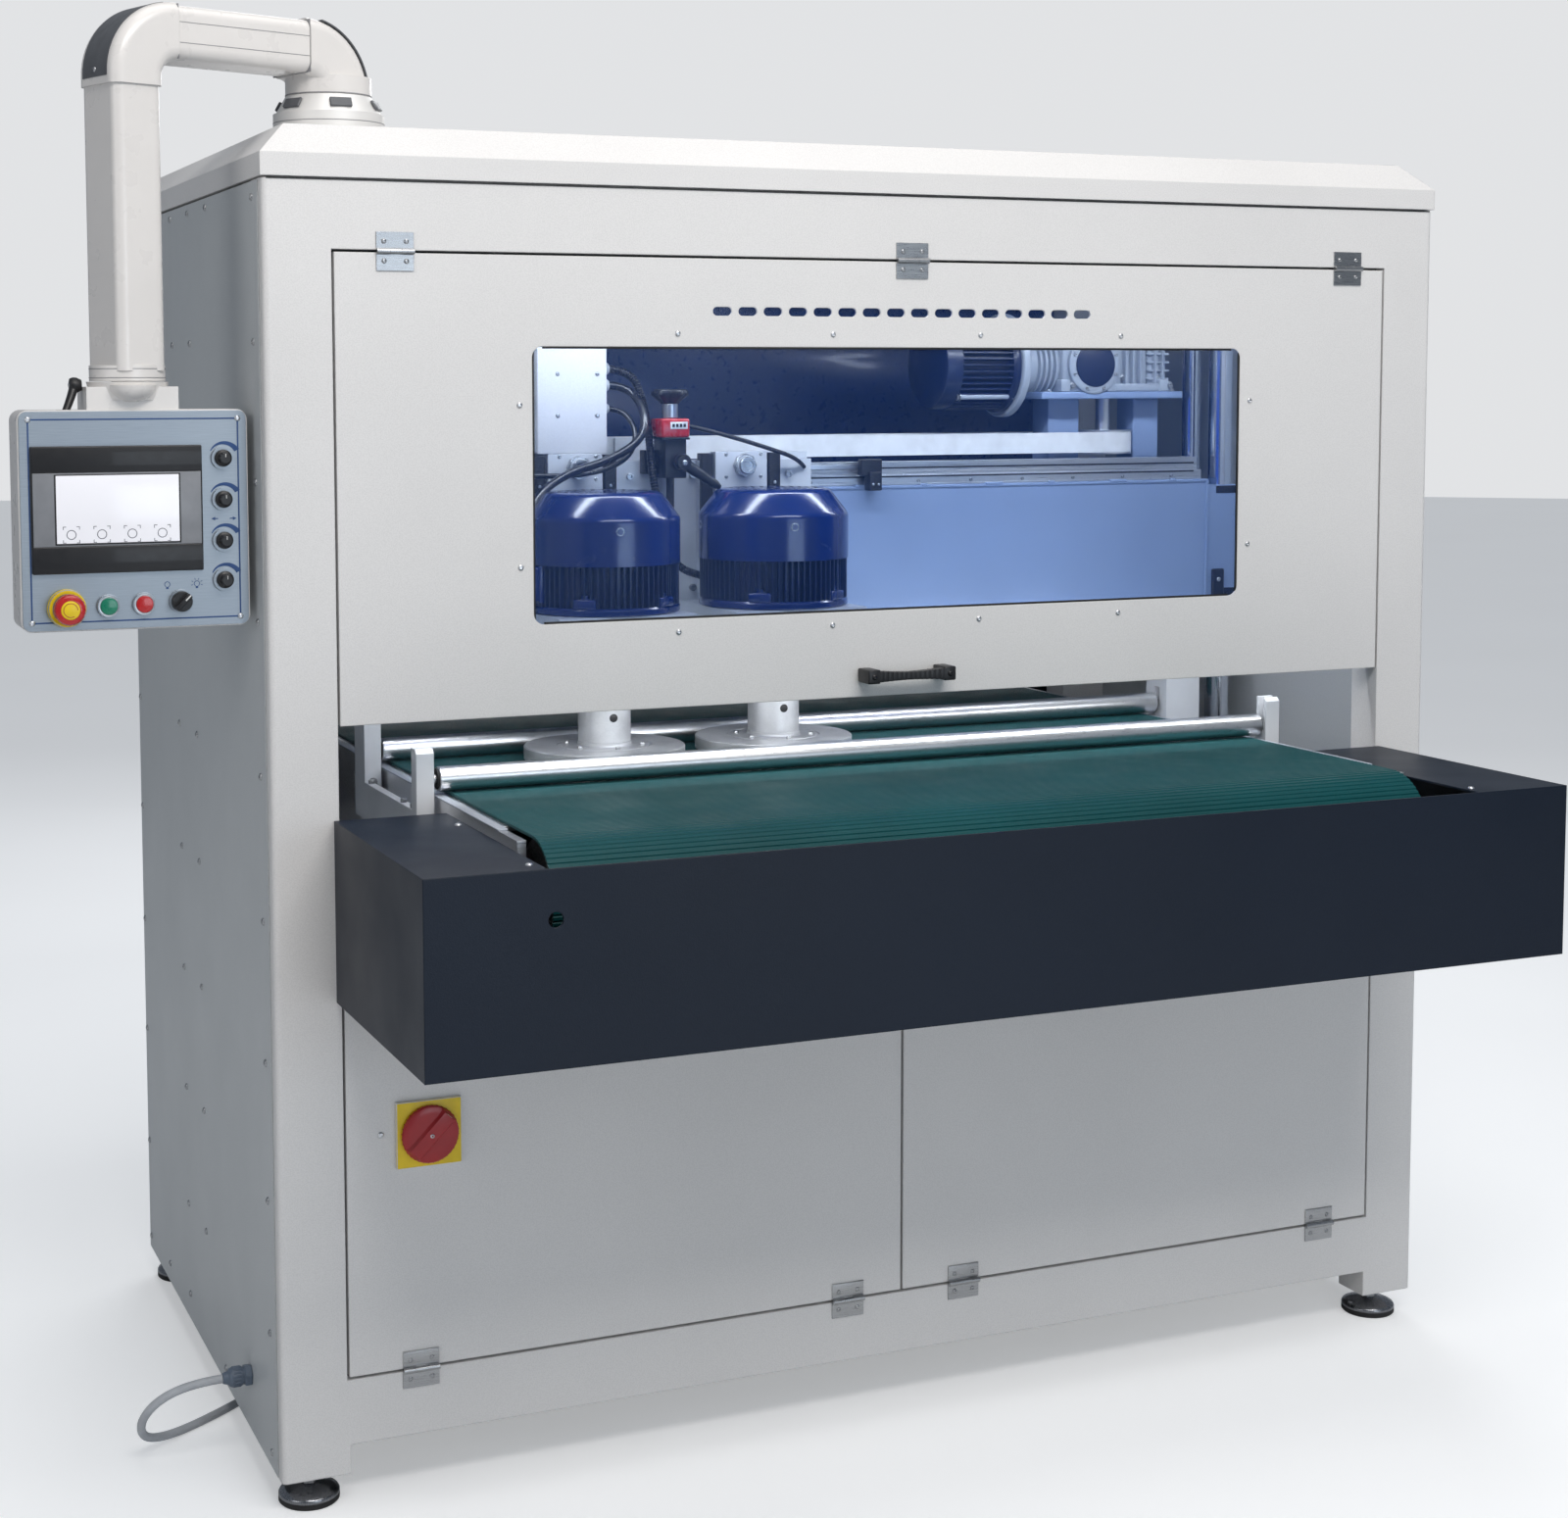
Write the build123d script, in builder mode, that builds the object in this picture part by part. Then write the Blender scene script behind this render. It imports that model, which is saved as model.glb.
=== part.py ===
"""Through-feed brush and disc sanding machine: a welded cabinet with a conveyor,
two vertical sanding spindles on a traversing carriage, and a swinging control panel.

Millimetres, +Z up. While modelling, x = 0 is the cabinet's centre plane, y = 0 is the
cabinet's front face (the operator stands at -Y) and z = 0 is the floor. The last lines
move every piece so that the origin lies on the floor, in the middle of the footprint.
"""
from build123d import *
import math
import os

# ---- driving dimensions -------------------------------------------------------------
CAB_W = 1830.0            # cabinet width over the welded frames
CAB_D = 985.0             # cabinet depth
FRAME_D = 60.0            # depth of the front and rear frame tubes
OPEN_X = 826.0            # half width of the frame openings
LEG_Z = 45.0              # underside of the legs, above the levelling feet
SILL_Z = 84.5             # underside of the bottom rails
LOW_Z0, LOW_Z1 = 173.0, 690.0        # lower opening of the frames
UP_Z0, UP_Z1 = 775.0, 1665.0         # upper opening of the frames
FRAME_TOP = 1753.6
ROOF_TOP = 1826.0
SHEET = 3.0               # folded sheet thickness
PANEL_T = 2.0             # side panels lie outside the frames
PANEL_SCREW_R, PANEL_SCREW_H = 2.2, 3.0      # bosses of the side panels' corner screws
MID_Y = CAB_D / 2

DOOR_X = 822.5            # half width over the doors
DOOR_D = 28.0             # folded door depth
UP_DOOR = (1048.7, 1661.4)           # upper door, bottom and top
LOW_DOOR = (177.0, 680.0)            # lower doors, bottom and top
WINDOW = (4.0, 1356.0, 1120.0, 371.0)  # window centre x, centre z, width, height
UP_HINGE_X = (-742.0, 10.0, 756.0)
LOW_HINGE_X = (-724.6, -87.5, 101.4, 733.7)
HINGE_Y = -4.0            # hinge pins stand in front of the face
UP_HINGE_Z = 1663.2
LOW_HINGE_Z = 175.0
KNUCKLE_R = 4.0
PIN_R = 2.0

COVER_X = 833.0           # half width of the infeed and outfeed covers
COVER_LEN = 408.6
COVER_Z = (684.5, 925.0)
COVER_SLOT_X = 681.0      # half width of the belt cut-out in the cover

BELT_TOP = 938.0
BELT_T = 4.0
BELT_X = 650.0            # half width of the conveyor belt
DRUM_R = 72.7
DRUM_OVERHANG = 262.0     # drum axis beyond the cabinet face
DRUM_Z = BELT_TOP - BELT_T - DRUM_R - 0.3
SHAFT_R = 15.0

ROLLER_R = 16.8
ROLLER_X = 669.0          # half length of the hold-down rollers
AXLE_R = 6.0
ROLLER_Z = 957.0
FRONT_ROLLER_Y, REAR_ROLLER_Y = 87.0, 378.0

SPINDLE_X = (-369.0, -98.0)
SPINDLE_Y = 234.0
DISC_R = 118.0
DISC_Z = (947.0, 967.0)
SLEEVE_R = 38.5
MOTOR_Z = (1163.0, 1236.0, 1303.0, 1337.0)   # flange, cowl edge, shoulder, crown
COWL_R = 112.0

BEAM_X = 790.0
BEAM_Y = (405.0, 545.0)
BEAM_Z = (1104.0, 1329.0)
LOW_RAIL_Z = 1106.0       # underside of the rail that steadies the carriage's foot
COLUMN_X = 832.0
COLUMNS = ((433.0, 20.0), (520.0, 16.0))     # y, radius
COLUMN_Z = (760.0, 1693.0)
RUN_GAP = 0.05            # radial running clearance of shafts, pins and columns

PULLEY_X, PULLEY_Y, PULLEY_R = 640.0, 500.0, 45.0
TIMING_Z = (1375.0, 1409.0)

ARM_BASE = (-775.0, 204.0)           # swivel axis of the boom on the roof
TUBE = (-1071.0, 98.0)               # axis of the hanging tube and of the panel swivel
BOOM_Z = 1941.0
BOOM_W, BOOM_H = 90.0, 68.0
TUBE_END_Z = 1510.0
ELBOW_WALL, ELBOW_LIP = 3.0, 13.0    # the elbow shells stand proud of the tubes

PANEL_X, PANEL_Z = -1071.0, 1321.0   # centre of the operator panel
PANEL_W, PANEL_H = 290.0, 280.0
PANEL_Y = 55.0            # front of the faceplate
PLATE_T = 3.0
PANEL_BACK = 141.0

CABLE_D = 12.0
GLAND = (178.0, 128.0)               # y, z where the mains cable leaves the left side
COIL_CENTRE = (-700.0, 1130.0)
COIL_R = 66.0             # mean radius of the put-away coil
PLUG_X, PLUG_Y = -597.0, 1202.0      # where the cable enters the plug
PLUG_R, PLUG_BODY_R = 32.0, 26.0
PLUG_NECK, PLUG_BODY, PLUG_COLLAR = 24.0, 70.0, 44.0

TURNED = {"x": (0, 90, 0), "y": (90, 0, 0), "z": (0, 0, 0)}


# ---- small helpers: each adds to (or cuts from) the part being built --------------------
def block(x, y, z, mode=Mode.ADD):
    """A box between two limits on each axis."""
    with Locations((sum(x) / 2, sum(y) / 2, sum(z) / 2)):
        Box(x[1] - x[0], y[1] - y[0], z[1] - z[0], mode=mode)


def rod(centre, radius, length, along, mode=Mode.ADD):
    """A cylinder centred on a point, along one axis."""
    with Locations(Location(centre, TURNED[along])):
        Cylinder(radius, length, mode=mode)


def tray(x, z, depth=DOOR_D):
    """A folded sheet door: a front sheet at y = 0 with a flange round its edge."""
    block(x, (0, depth), z)
    block((x[0] + SHEET, x[1] - SHEET), (SHEET, depth), (z[0] + SHEET, z[1] - SHEET), Mode.SUBTRACT)


def fixed_leaf(x, z, up):
    """Frame half of a butt hinge: leaf, two outer knuckles and the pin."""
    ends = sorted((z + up * 4.2, z + up * 25))
    block((x - 25, x + 25), (-2, 0), ends)
    for side in (-1, 1):
        rod((x + side * 16.5, HINGE_Y, z), KNUCKLE_R, 17, "x")
        block((x + side * 16.5 - 8.5, x + side * 16.5 + 8.5), (-2, 0), sorted((z, z + up * 5)))
    rod((x, HINGE_Y, z), PIN_R, 40, "x")


def moving_leaf(x, z, up):
    """Door half of a butt hinge: leaf and one bored middle knuckle."""
    block((x - 25, x + 25), (-2, 0), sorted((z + up * 4.2, z + up * 25)))
    rod((x, HINGE_Y, z), KNUCKLE_R, 15.6, "x")
    block((x - 7.8, x + 7.8), (-2, 0), sorted((z, z + up * 5)))
    rod((x, HINGE_Y, z), PIN_R + RUN_GAP, 15.6, "x", Mode.SUBTRACT)


# ---- cabinet ------------------------------------------------------------------------
with BuildPart() as front_frame:
    with BuildSketch(Plane.XZ):
        with Locations((0, (LEG_Z + FRAME_TOP) / 2)):
            Rectangle(CAB_W, FRAME_TOP - LEG_Z)
        with Locations((0, (UP_Z0 + UP_Z1) / 2)):
            Rectangle(2 * OPEN_X, UP_Z1 - UP_Z0, mode=Mode.SUBTRACT)
        with Locations((0, (LOW_Z0 + LOW_Z1) / 2)):
            Rectangle(2 * OPEN_X, LOW_Z1 - LOW_Z0, mode=Mode.SUBTRACT)
        with Locations((0, LEG_Z)):
            Rectangle(2 * DOOR_X, 2 * (SILL_Z - LEG_Z), mode=Mode.SUBTRACT)
    extrude(amount=-FRAME_D)
    corners = front_frame.edges().filter_by(Axis.Z).group_by(Axis.Y)[0]
    fillet([edge for edge in corners if abs(edge.center().X) > CAB_W / 2 - 1], radius=8)
front_frame.part.label = "front_frame"

# the rear frame is the same weldment turned round, with sheet panels closing its openings
with BuildPart() as rear_frame:
    mirror(front_frame.part, about=Plane.XZ.offset(-MID_Y))
    for low, high in ((1056, UP_Z1 - 1), (LOW_Z0 + 1, LOW_Z1 - 1)):
        block((1 - OPEN_X, OPEN_X - 1), (CAB_D - 12, CAB_D - 9), (low, high))
        for side in (-1, 1):
            block(sorted((side * (OPEN_X - 1), side * OPEN_X)), (CAB_D - 12, CAB_D - 9), (low, high))
rear_frame.part.label = "rear_frame"

with BuildPart() as base_frame:
    for side in (-1, 1):
        rail_x = sorted((side * 855, side * 913))
        for low, high in ((SILL_Z, LOW_Z0), (700, 760), (1693, FRAME_TOP)):
            block(rail_x, (FRAME_D, CAB_D - FRAME_D), (low, high))
        for low, high in ((700, 760), (1693, FRAME_TOP)):
            block(sorted((side * 805, side * 855)), (400, 550), (low, high))
    for y in (300, 625):
        block((-855, 855), (y, y + 60), (700, 760))
base_frame.part.label = "base_frame"

with BuildPart() as side_panels:
    for side in (-1, 1):
        block(sorted((side * CAB_W / 2, side * (CAB_W / 2 + PANEL_T))), (20, CAB_D - 20), (48, 1752))
        for y, z in ((50, 70), (50, 1732), (CAB_D - 35, 70), (CAB_D - 35, 1732)):
            rod((side * (CAB_W / 2 + PANEL_T + PANEL_SCREW_H / 2), y, z), PANEL_SCREW_R, PANEL_SCREW_H, "x")
side_panels.part.label = "side_panels"

# folded roof: upright band, 45 degree slope and flat top, resting on an inner gasket frame
with BuildPart() as roof_cover:
    block((-917, 917), (-2, CAB_D + 2), (1756, ROOF_TOP))
    chamfer(roof_cover.faces().sort_by(Axis.Z)[-1].edges(), length=40)
    offset(amount=-SHEET, openings=roof_cover.faces().sort_by(Axis.Z)[0])
    with BuildSketch(Plane.XY.offset(FRAME_TOP)):
        with Locations((0, MID_Y)):
            Rectangle(2 * 905, CAB_D - 20)
            Rectangle(2 * 860, CAB_D - 110, mode=Mode.SUBTRACT)
    extrude(amount=4)
    for side in (-1, 1):
        block(sorted((side * 900, side * 915)), (8, CAB_D - 8), (1756, 1759))
    for y in (0.5, CAB_D - 15.5):
        block((-915, 915), (y, y + 15), (1756, 1759))
roof_cover.part.label = "roof_cover"

with BuildPart() as levelling_feet:
    with Locations(*[(x, y, 0) for x in (-869, 869) for y in (46, 940)]):
        Cylinder(41, 6, align=(Align.CENTER, Align.CENTER, Align.MIN))
    with Locations(*[(x, y, 6) for x in (-869, 869) for y in (46, 940)]):
        Cone(39, 20, 8, align=(Align.CENTER, Align.CENTER, Align.MIN))
        Cylinder(8, LEG_Z - 6, align=(Align.CENTER, Align.CENTER, Align.MIN))
    with BuildSketch(Plane.XY.offset(33)):
        with Locations(*[(x, y) for x in (-869, 869) for y in (46, 940)]):
            RegularPolygon(14, 6)
    extrude(amount=LEG_Z - 33)
levelling_feet.part.label = "levelling_feet"

with BuildPart() as frame_hinge_leaves:
    for x in UP_HINGE_X:
        fixed_leaf(x, UP_HINGE_Z, 1)
    for x in LOW_HINGE_X:
        fixed_leaf(x, LOW_HINGE_Z, -1)
frame_hinge_leaves.part.label = "frame_hinge_leaves"

# ---- infeed and outfeed covers ----------------------------------------------------------
with BuildPart() as infeed_cover:
    block((-COVER_X, COVER_X), (-COVER_LEN, 0), COVER_Z)
    inside = (COVER_X - SHEET, COVER_LEN - SHEET, COVER_Z[1] - SHEET)
    block((-inside[0], inside[0]), (-inside[1], 0), (COVER_Z[0] + SHEET, inside[2]), Mode.SUBTRACT)
    block((-COVER_SLOT_X, COVER_SLOT_X), (-inside[1], 0), (inside[2] - 1, COVER_Z[1]), Mode.SUBTRACT)
    rod((-671, -COVER_LEN, 864), 9.5, 20, "y", Mode.SUBTRACT)
infeed_cover.part.label = "infeed_cover"

with BuildPart() as outfeed_cover:
    mirror(infeed_cover.part, about=Plane.XZ.offset(-MID_Y))
outfeed_cover.part.label = "outfeed_cover"

# ---- conveyor -----------------------------------------------------------------------
DRUM_Y = (-DRUM_OVERHANG, CAB_D + DRUM_OVERHANG)

with BuildPart() as conveyor_frame:
    for side in (-1, 1):
        plate_x = sorted((side * 658, side * 670))
        block(plate_x, (DRUM_Y[0], DRUM_Y[1]), (815, 932))
        for y in DRUM_Y:
            rod((side * 664, y, DRUM_Z), 46, 12, "x")
        for y in (300, 625):
            block(plate_x, (y, y + 60), (760, 815))
    block((-658, 658), (-170, CAB_D + 170), (927, 933.5))
    for y in DRUM_Y:
        rod((0, y, DRUM_Z), SHAFT_R + RUN_GAP, 1400, "x", Mode.SUBTRACT)
conveyor_frame.part.label = "conveyor_frame"


def belt_loop(radius, width):
    """A closed flat-belt outline round the two drums, pulled across the conveyor."""
    block((-width, width), DRUM_Y, (DRUM_Z - radius, DRUM_Z + radius))
    for y in DRUM_Y:
        rod((0, y, DRUM_Z), radius, 2 * width, "x")


with BuildPart() as belt_inside:
    belt_loop(DRUM_R + 0.3, BELT_X + 1)

with BuildPart() as conveyor_belt:
    belt_loop(DRUM_R + 0.3 + BELT_T, BELT_X)
    add(belt_inside.part, mode=Mode.SUBTRACT)
conveyor_belt.part.label = "conveyor_belt"


with BuildPart() as tail_drum:
    rod((0, DRUM_Y[0], DRUM_Z), DRUM_R, 2 * 640, "x")
    rod((0, DRUM_Y[0], DRUM_Z), SHAFT_R, 2 * 676, "x")
tail_drum.part.label = "tail_drum"

with BuildPart() as drive_drum:
    rod((0, DRUM_Y[1], DRUM_Z), DRUM_R, 2 * 640, "x")
    rod((32, DRUM_Y[1], DRUM_Z), SHAFT_R, 2 * 708, "x")
drive_drum.part.label = "drive_drum"

with BuildPart() as conveyor_gearmotor:
    block((670, 776), (DRUM_Y[1] - 50, DRUM_Y[1] + 50), (DRUM_Z - 50, DRUM_Z + 50))
    rod((724, DRUM_Y[1] - 150, DRUM_Z), 52, 200, "y")
    rod((700, DRUM_Y[1], DRUM_Z), SHAFT_R + RUN_GAP, 180, "x", Mode.SUBTRACT)
conveyor_gearmotor.part.label = "conveyor_gearmotor"

# ---- hold-down rollers --------------------------------------------------------------
SLOT = AXLE_R + 0.1       # half width of the axle slots

with BuildPart() as hold_down_brackets:
    for side in (-1, 1):
        block(sorted((side * 688, side * 700)), (75, 400), (860, 915))
        block(sorted((side * 670, side * 688)), (75, 400), (860, 895))
        block(sorted((side * 675, side * 700)), (75, 99), (860, 1000))
    block((-700, -675), (345, 400), (860, 1045))
    block((675, 740), (350, 410), (860, 1060))
    front_tops = hold_down_brackets.edges().filter_by(Axis.X).filter_by_position(Axis.Z, 999, 1001)
    chamfer(front_tops.group_by(Axis.Y)[0], length=6)
    for y in (FRONT_ROLLER_Y, REAR_ROLLER_Y):
        block((-690, 690), (y - SLOT, y + SLOT), (ROLLER_Z - SLOT, ROLLER_Z + SLOT + 20), Mode.SUBTRACT)
    hook_y = (FRONT_ROLLER_Y - SLOT, FRONT_ROLLER_Y + SLOT)
    block((670, 705), hook_y, (ROLLER_Z - SLOT, 1001), Mode.SUBTRACT)
hold_down_brackets.part.label = "hold_down_brackets"


def hold_down_axle(y):
    """Fixed axle of one hold-down roller."""
    rod((0, y, ROLLER_Z), AXLE_R, 2 * 689, "x")


def hold_down_roller(y):
    """Polished roller with a running bore."""
    rod((0, y, ROLLER_Z), ROLLER_R, 2 * ROLLER_X, "x")
    rod((0, y, ROLLER_Z), AXLE_R + RUN_GAP, 2 * ROLLER_X + 2, "x", Mode.SUBTRACT)


with BuildPart() as front_roller_axle:
    hold_down_axle(FRONT_ROLLER_Y)
front_roller_axle.part.label = "front_roller_axle"

with BuildPart() as front_roller:
    hold_down_roller(FRONT_ROLLER_Y)
front_roller.part.label = "front_roller"

with BuildPart() as rear_roller_axle:
    hold_down_axle(REAR_ROLLER_Y)
rear_roller_axle.part.label = "rear_roller_axle"

with BuildPart() as rear_roller:
    hold_down_roller(REAR_ROLLER_Y)
rear_roller.part.label = "rear_roller"

# ---- lifting beam -------------------------------------------------------------------
with BuildPart() as guide_columns:
    for side in (-1, 1):
        for y, radius in COLUMNS:
            rod((side * COLUMN_X, y, sum(COLUMN_Z) / 2), radius, COLUMN_Z[1] - COLUMN_Z[0], "z")
guide_columns.part.label = "guide_columns"

# C-section beam, open to the rear, with a column sleeve at each end and the idler bracket
with BuildPart() as cross_beam:
    block((-BEAM_X, BEAM_X), BEAM_Y, BEAM_Z)
    block((8 - BEAM_X, BEAM_X - 8), (BEAM_Y[0] + 8, BEAM_Y[1]), (BEAM_Z[0] + 8, BEAM_Z[1] - 8), Mode.SUBTRACT)
    for side in (-1, 1):
        block(sorted((side * BEAM_X, side * 862)), BEAM_Y, (1130, 1318))
        for y, radius in COLUMNS:
            rod((side * COLUMN_X, y, 1224), radius + RUN_GAP, 200, "z", Mode.SUBTRACT)
    block((-720, -700), (480, 520), (BEAM_Z[1], 1440))
    block((-720, -615), (480, 520), (1422, 1440))
    rod((-PULLEY_X, PULLEY_Y, 1430), 8 + RUN_GAP, 30, "z", Mode.SUBTRACT)
cross_beam.part.label = "cross_beam"

with BuildPart() as linear_rails:
    block((-780, 780), (412, 478), (BEAM_Z[1], 1345))
    block((-780, 780), (425, 465), (1345, 1366))
    block((-780, 780), (393, BEAM_Y[0]), (LOW_RAIL_Z, LOW_RAIL_Z + 20))
linear_rails.part.label = "linear_rails"

with BuildPart() as traverse_gearmotor:
    for leg in ((525, 585), (692, 742)):
        block(leg, (486, 538), (BEAM_Z[1], 1465))
    block((485, 760), (440, 560), (1465, 1477))
    block((520, 740), (442, 558), (1477, 1585))
    rod((585, 436, 1522), 42, 14, "y")
    rod((455, PULLEY_Y, 1521), 84, 26, "x")
    rod((385, PULLEY_Y, 1521), 78, 170, "x")
    rod((500, PULLEY_Y, 1521), 46, 70, "x")
    rod((PULLEY_X, PULLEY_Y, 1480), 12 + RUN_GAP, 44, "z", Mode.SUBTRACT)
traverse_gearmotor.part.label = "traverse_gearmotor"


def toothed_pulley(x, shaft_radius, shaft_top):
    """Flanged timing pulley with its upright shaft."""
    rod((x, PULLEY_Y, sum(TIMING_Z) / 2), PULLEY_R, 40, "z")
    for z in (TIMING_Z[0] - 1.75, TIMING_Z[1] + 1.75):
        rod((x, PULLEY_Y, z), PULLEY_R + 4, 2.5, "z")
    rod((x, PULLEY_Y, (1412 + shaft_top) / 2), shaft_radius, shaft_top - 1412, "z")


with BuildPart() as drive_pulley:
    toothed_pulley(PULLEY_X, 12, 1500)
drive_pulley.part.label = "drive_pulley"

with BuildPart() as idler_pulley:
    toothed_pulley(-PULLEY_X, 8, 1440)
idler_pulley.part.label = "idler_pulley"

with BuildPart() as timing_belt:
    with BuildSketch(Plane.XY.offset(TIMING_Z[0])):
        with Locations((0, PULLEY_Y)):
            SlotCenterToCenter(2 * PULLEY_X, 2 * (PULLEY_R + 3.3))
            SlotCenterToCenter(2 * PULLEY_X, 2 * (PULLEY_R + 0.3), mode=Mode.SUBTRACT)
    extrude(amount=TIMING_Z[1] - TIMING_Z[0])
timing_belt.part.label = "timing_belt"

# ---- traversing carriage with the two sanding heads ----------------------------------------
PLATE_Y = (372.0, 387.0)

with BuildPart() as carriage_plate:
    block((-505, 30), PLATE_Y, (1112, 1375))
    for x in SPINDLE_X:
        block((x - 43, x + 43), (352, PLATE_Y[0]), (1148, 1388))
        for side in (-1, 1):
            block(sorted((x + side * 46, x + side * 67)), (360, PLATE_Y[0]), (1150, 1375))
        rod((x + 4, 346, 1367), 15, 12, "y")
        block((x - 105, x + 105), (132, 352), (1148, MOTOR_Z[0]))
        rod((x, SPINDLE_Y, 1155), 20, 30, "z", Mode.SUBTRACT)
    for x in (-505, -40):
        block((x, x + 70), (PLATE_Y[1], 445), (1367, 1386))
        block((x, x + 70), (PLATE_Y[1], 392.4), (1112, LOW_RAIL_Z + 22))
    block((-270, -210), (PLATE_Y[1], 464), (1367, 1372))
    for y in (443, 457):
        block((-270, -210), (y, y + 7), (1372, 1409))
carriage_plate.part.label = "carriage_plate"

with BuildPart() as head_motors:
    for x in SPINDLE_X:
        rod((x, SPINDLE_Y, MOTOR_Z[0] + 6), COWL_R, 12, "z")
        rod((x, SPINDLE_Y, sum(MOTOR_Z[:2]) / 2), 98, MOTOR_Z[1] - MOTOR_Z[0], "z")
        rod((x, SPINDLE_Y, sum(MOTOR_Z[1:3]) / 2), COWL_R, MOTOR_Z[2] - MOTOR_Z[1], "z")
        with Locations((x, SPINDLE_Y, sum(MOTOR_Z[2:]) / 2)):
            Cone(COWL_R, 84, MOTOR_Z[3] - MOTOR_Z[2])
        rod((x, SPINDLE_Y, 1193), 14 + RUN_GAP, 60, "z", Mode.SUBTRACT)
    block((SPINDLE_X[0] - 132, SPINDLE_X[0] - 94), (205, 265), (1182, 1232))
head_motors.part.label = "head_motors"

with BuildPart() as junction_box:
    block((-428, -318), (352, 438), (1388, 1547))
    fillet(junction_box.edges().filter_by(Axis.Y), radius=4)
    for z in (1515, 1490, 1455):
        rod((-312, 378, z), 11, 12, "x")
junction_box.part.label = "junction_box"

with BuildPart() as position_indicator:
    block((-235, -200), (325, PLATE_Y[0]), (1350, 1408))
    block((-243, -197), (318, 366), (1408, 1440))
    rod((-220, 342, 1448), 5, 16, "z")
    rod((-220, 342, 1260), 6, 180, "z")
position_indicator.part.label = "position_indicator"

with BuildPart() as star_knob:
    rod((-220, 342, 1451.3), 12, 22, "z")
    rod((-220, 342, 1473), 21, 22, "z")
    with Locations((-220, 342, 1473)):
        with PolarLocations(21, 5):
            Cylinder(9, 22)
    rod((-220, 342, 1448), 5 + RUN_GAP, 17, "z", Mode.SUBTRACT)
star_knob.part.label = "star_knob"

# clamp handle: a hub on a stud with a tapering arm, lying 33 degrees below level
with BuildPart() as clamp_lever:
    rod((-212, 314, 1374), 13, 20, "y")
    with Locations(Location((-212, 312, 1374), (0, 33, 0))):
        Box(72, 12, 13, align=(Align.MIN, Align.CENTER, Align.CENTER))
clamp_lever.part.label = "clamp_lever"

HOSES = (
    (6.5, ((-306, 378, 1515), (-270, 377, 1512), (-252, 374, 1470), (-250, 352, 1415), (-250, 340, 1350),
           (-236, 334, 1290), (-230, 330, 1240), (-205, 322, 1205), (-166, 302, 1200))),
    (6.5, ((-306, 378, 1490), (-276, 372, 1488), (-262, 340, 1455), (-272, 318, 1410), (-330, 312, 1378),
           (-400, 300, 1362), (-460, 270, 1330), (-486, 240, 1285), (-486, 236, 1232))),
    (4.0, ((-306, 378, 1455), (-284, 372, 1452), (-272, 350, 1425), (-282, 335, 1390), (-320, 330, 1365),
           (-380, 330, 1356), (-450, 340, 1356), (-500, 372, 1362))),
    (3.5, ((-197, 350, 1430), (-165, 350, 1424), (-105, 350, 1408), (-50, 352, 1392), (0, 356, 1376),
           (18, 372, 1362))),
)


def route(points):
    """A cable's centre line: straight runs joined by the largest tangent arcs they allow."""
    corners = [Vector(*point) for point in points]
    radii = []
    for before, corner, after in zip(corners, corners[1:], corners[2:]):
        half_turn = math.radians((corner - before).get_angle(after - corner)) / 2
        shorter = min((corner - before).length, (after - corner).length)
        radii.append(0.45 * shorter / math.tan(half_turn))
    return FilletPolyline(*points, radius=radii), radii


with BuildPart() as head_cables:
    for hose_radius, hose_points in HOSES:
        with BuildLine():
            hose_line, hose_radii = route(hose_points)
        with BuildSketch(Plane(hose_line @ 0, z_dir=hose_line % 0)):
            Circle(hose_radius)
        sweep()
        print("head cable radii", [round(radius) for radius in hose_radii])
head_cables.part.label = "head_cables"


def spindle(x):
    """Sanding spindle: backing disc, sleeve and the shaft that enters the motor."""
    rod((x, SPINDLE_Y, sum(DISC_Z) / 2), DISC_R, DISC_Z[1] - DISC_Z[0], "z")
    rod((x, SPINDLE_Y, (DISC_Z[1] + 1140) / 2), SLEEVE_R, 1140 - DISC_Z[1], "z")
    rod((x, SPINDLE_Y, 1180), 14, 80, "z")
    rod((x, SPINDLE_Y - SLEEVE_R, 1010), 4, 20, "y", Mode.SUBTRACT)


with BuildPart() as left_spindle:
    spindle(SPINDLE_X[0])
left_spindle.part.label = "left_spindle"

with BuildPart() as right_spindle:
    spindle(SPINDLE_X[1])
right_spindle.part.label = "right_spindle"

# ---- doors --------------------------------------------------------------------------
with BuildPart() as upper_door:
    tray((-DOOR_X, DOOR_X), UP_DOOR)
    with BuildSketch(Plane.XZ.offset(5)):
        with Locations((WINDOW[0], WINDOW[1])):
            RectangleRounded(WINDOW[2], WINDOW[3], 15)
        with GridLocations(38, 0, 16, 1):
            with Locations((WINDOW[0], 1590)):
                SlotOverall(28, 12)
    extrude(amount=-15, mode=Mode.SUBTRACT)
upper_door.part.label = "upper_door"

with BuildPart() as window_pane:
    block((-595, 603), (SHEET, SHEET + 5), (1138, 1616))
window_pane.part.label = "window_pane"

with BuildPart() as door_handle:
    with BuildSketch(Plane.XY.offset(1071)):
        with BuildLine():
            Polyline((-74, 0), (-74, -24), (-62, -36), (54, -36), (66, -24), (66, 0),
                     (46, 0), (46, -18), (-54, -18), (-54, 0), close=True)
        make_face()
    extrude(amount=18)
door_handle.part.label = "door_handle"

with BuildPart() as upper_hinge_leaves:
    for x in UP_HINGE_X:
        moving_leaf(x, UP_HINGE_Z, -1)
upper_hinge_leaves.part.label = "upper_hinge_leaves"

SWITCH = (-711.0, 497.0)

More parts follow.
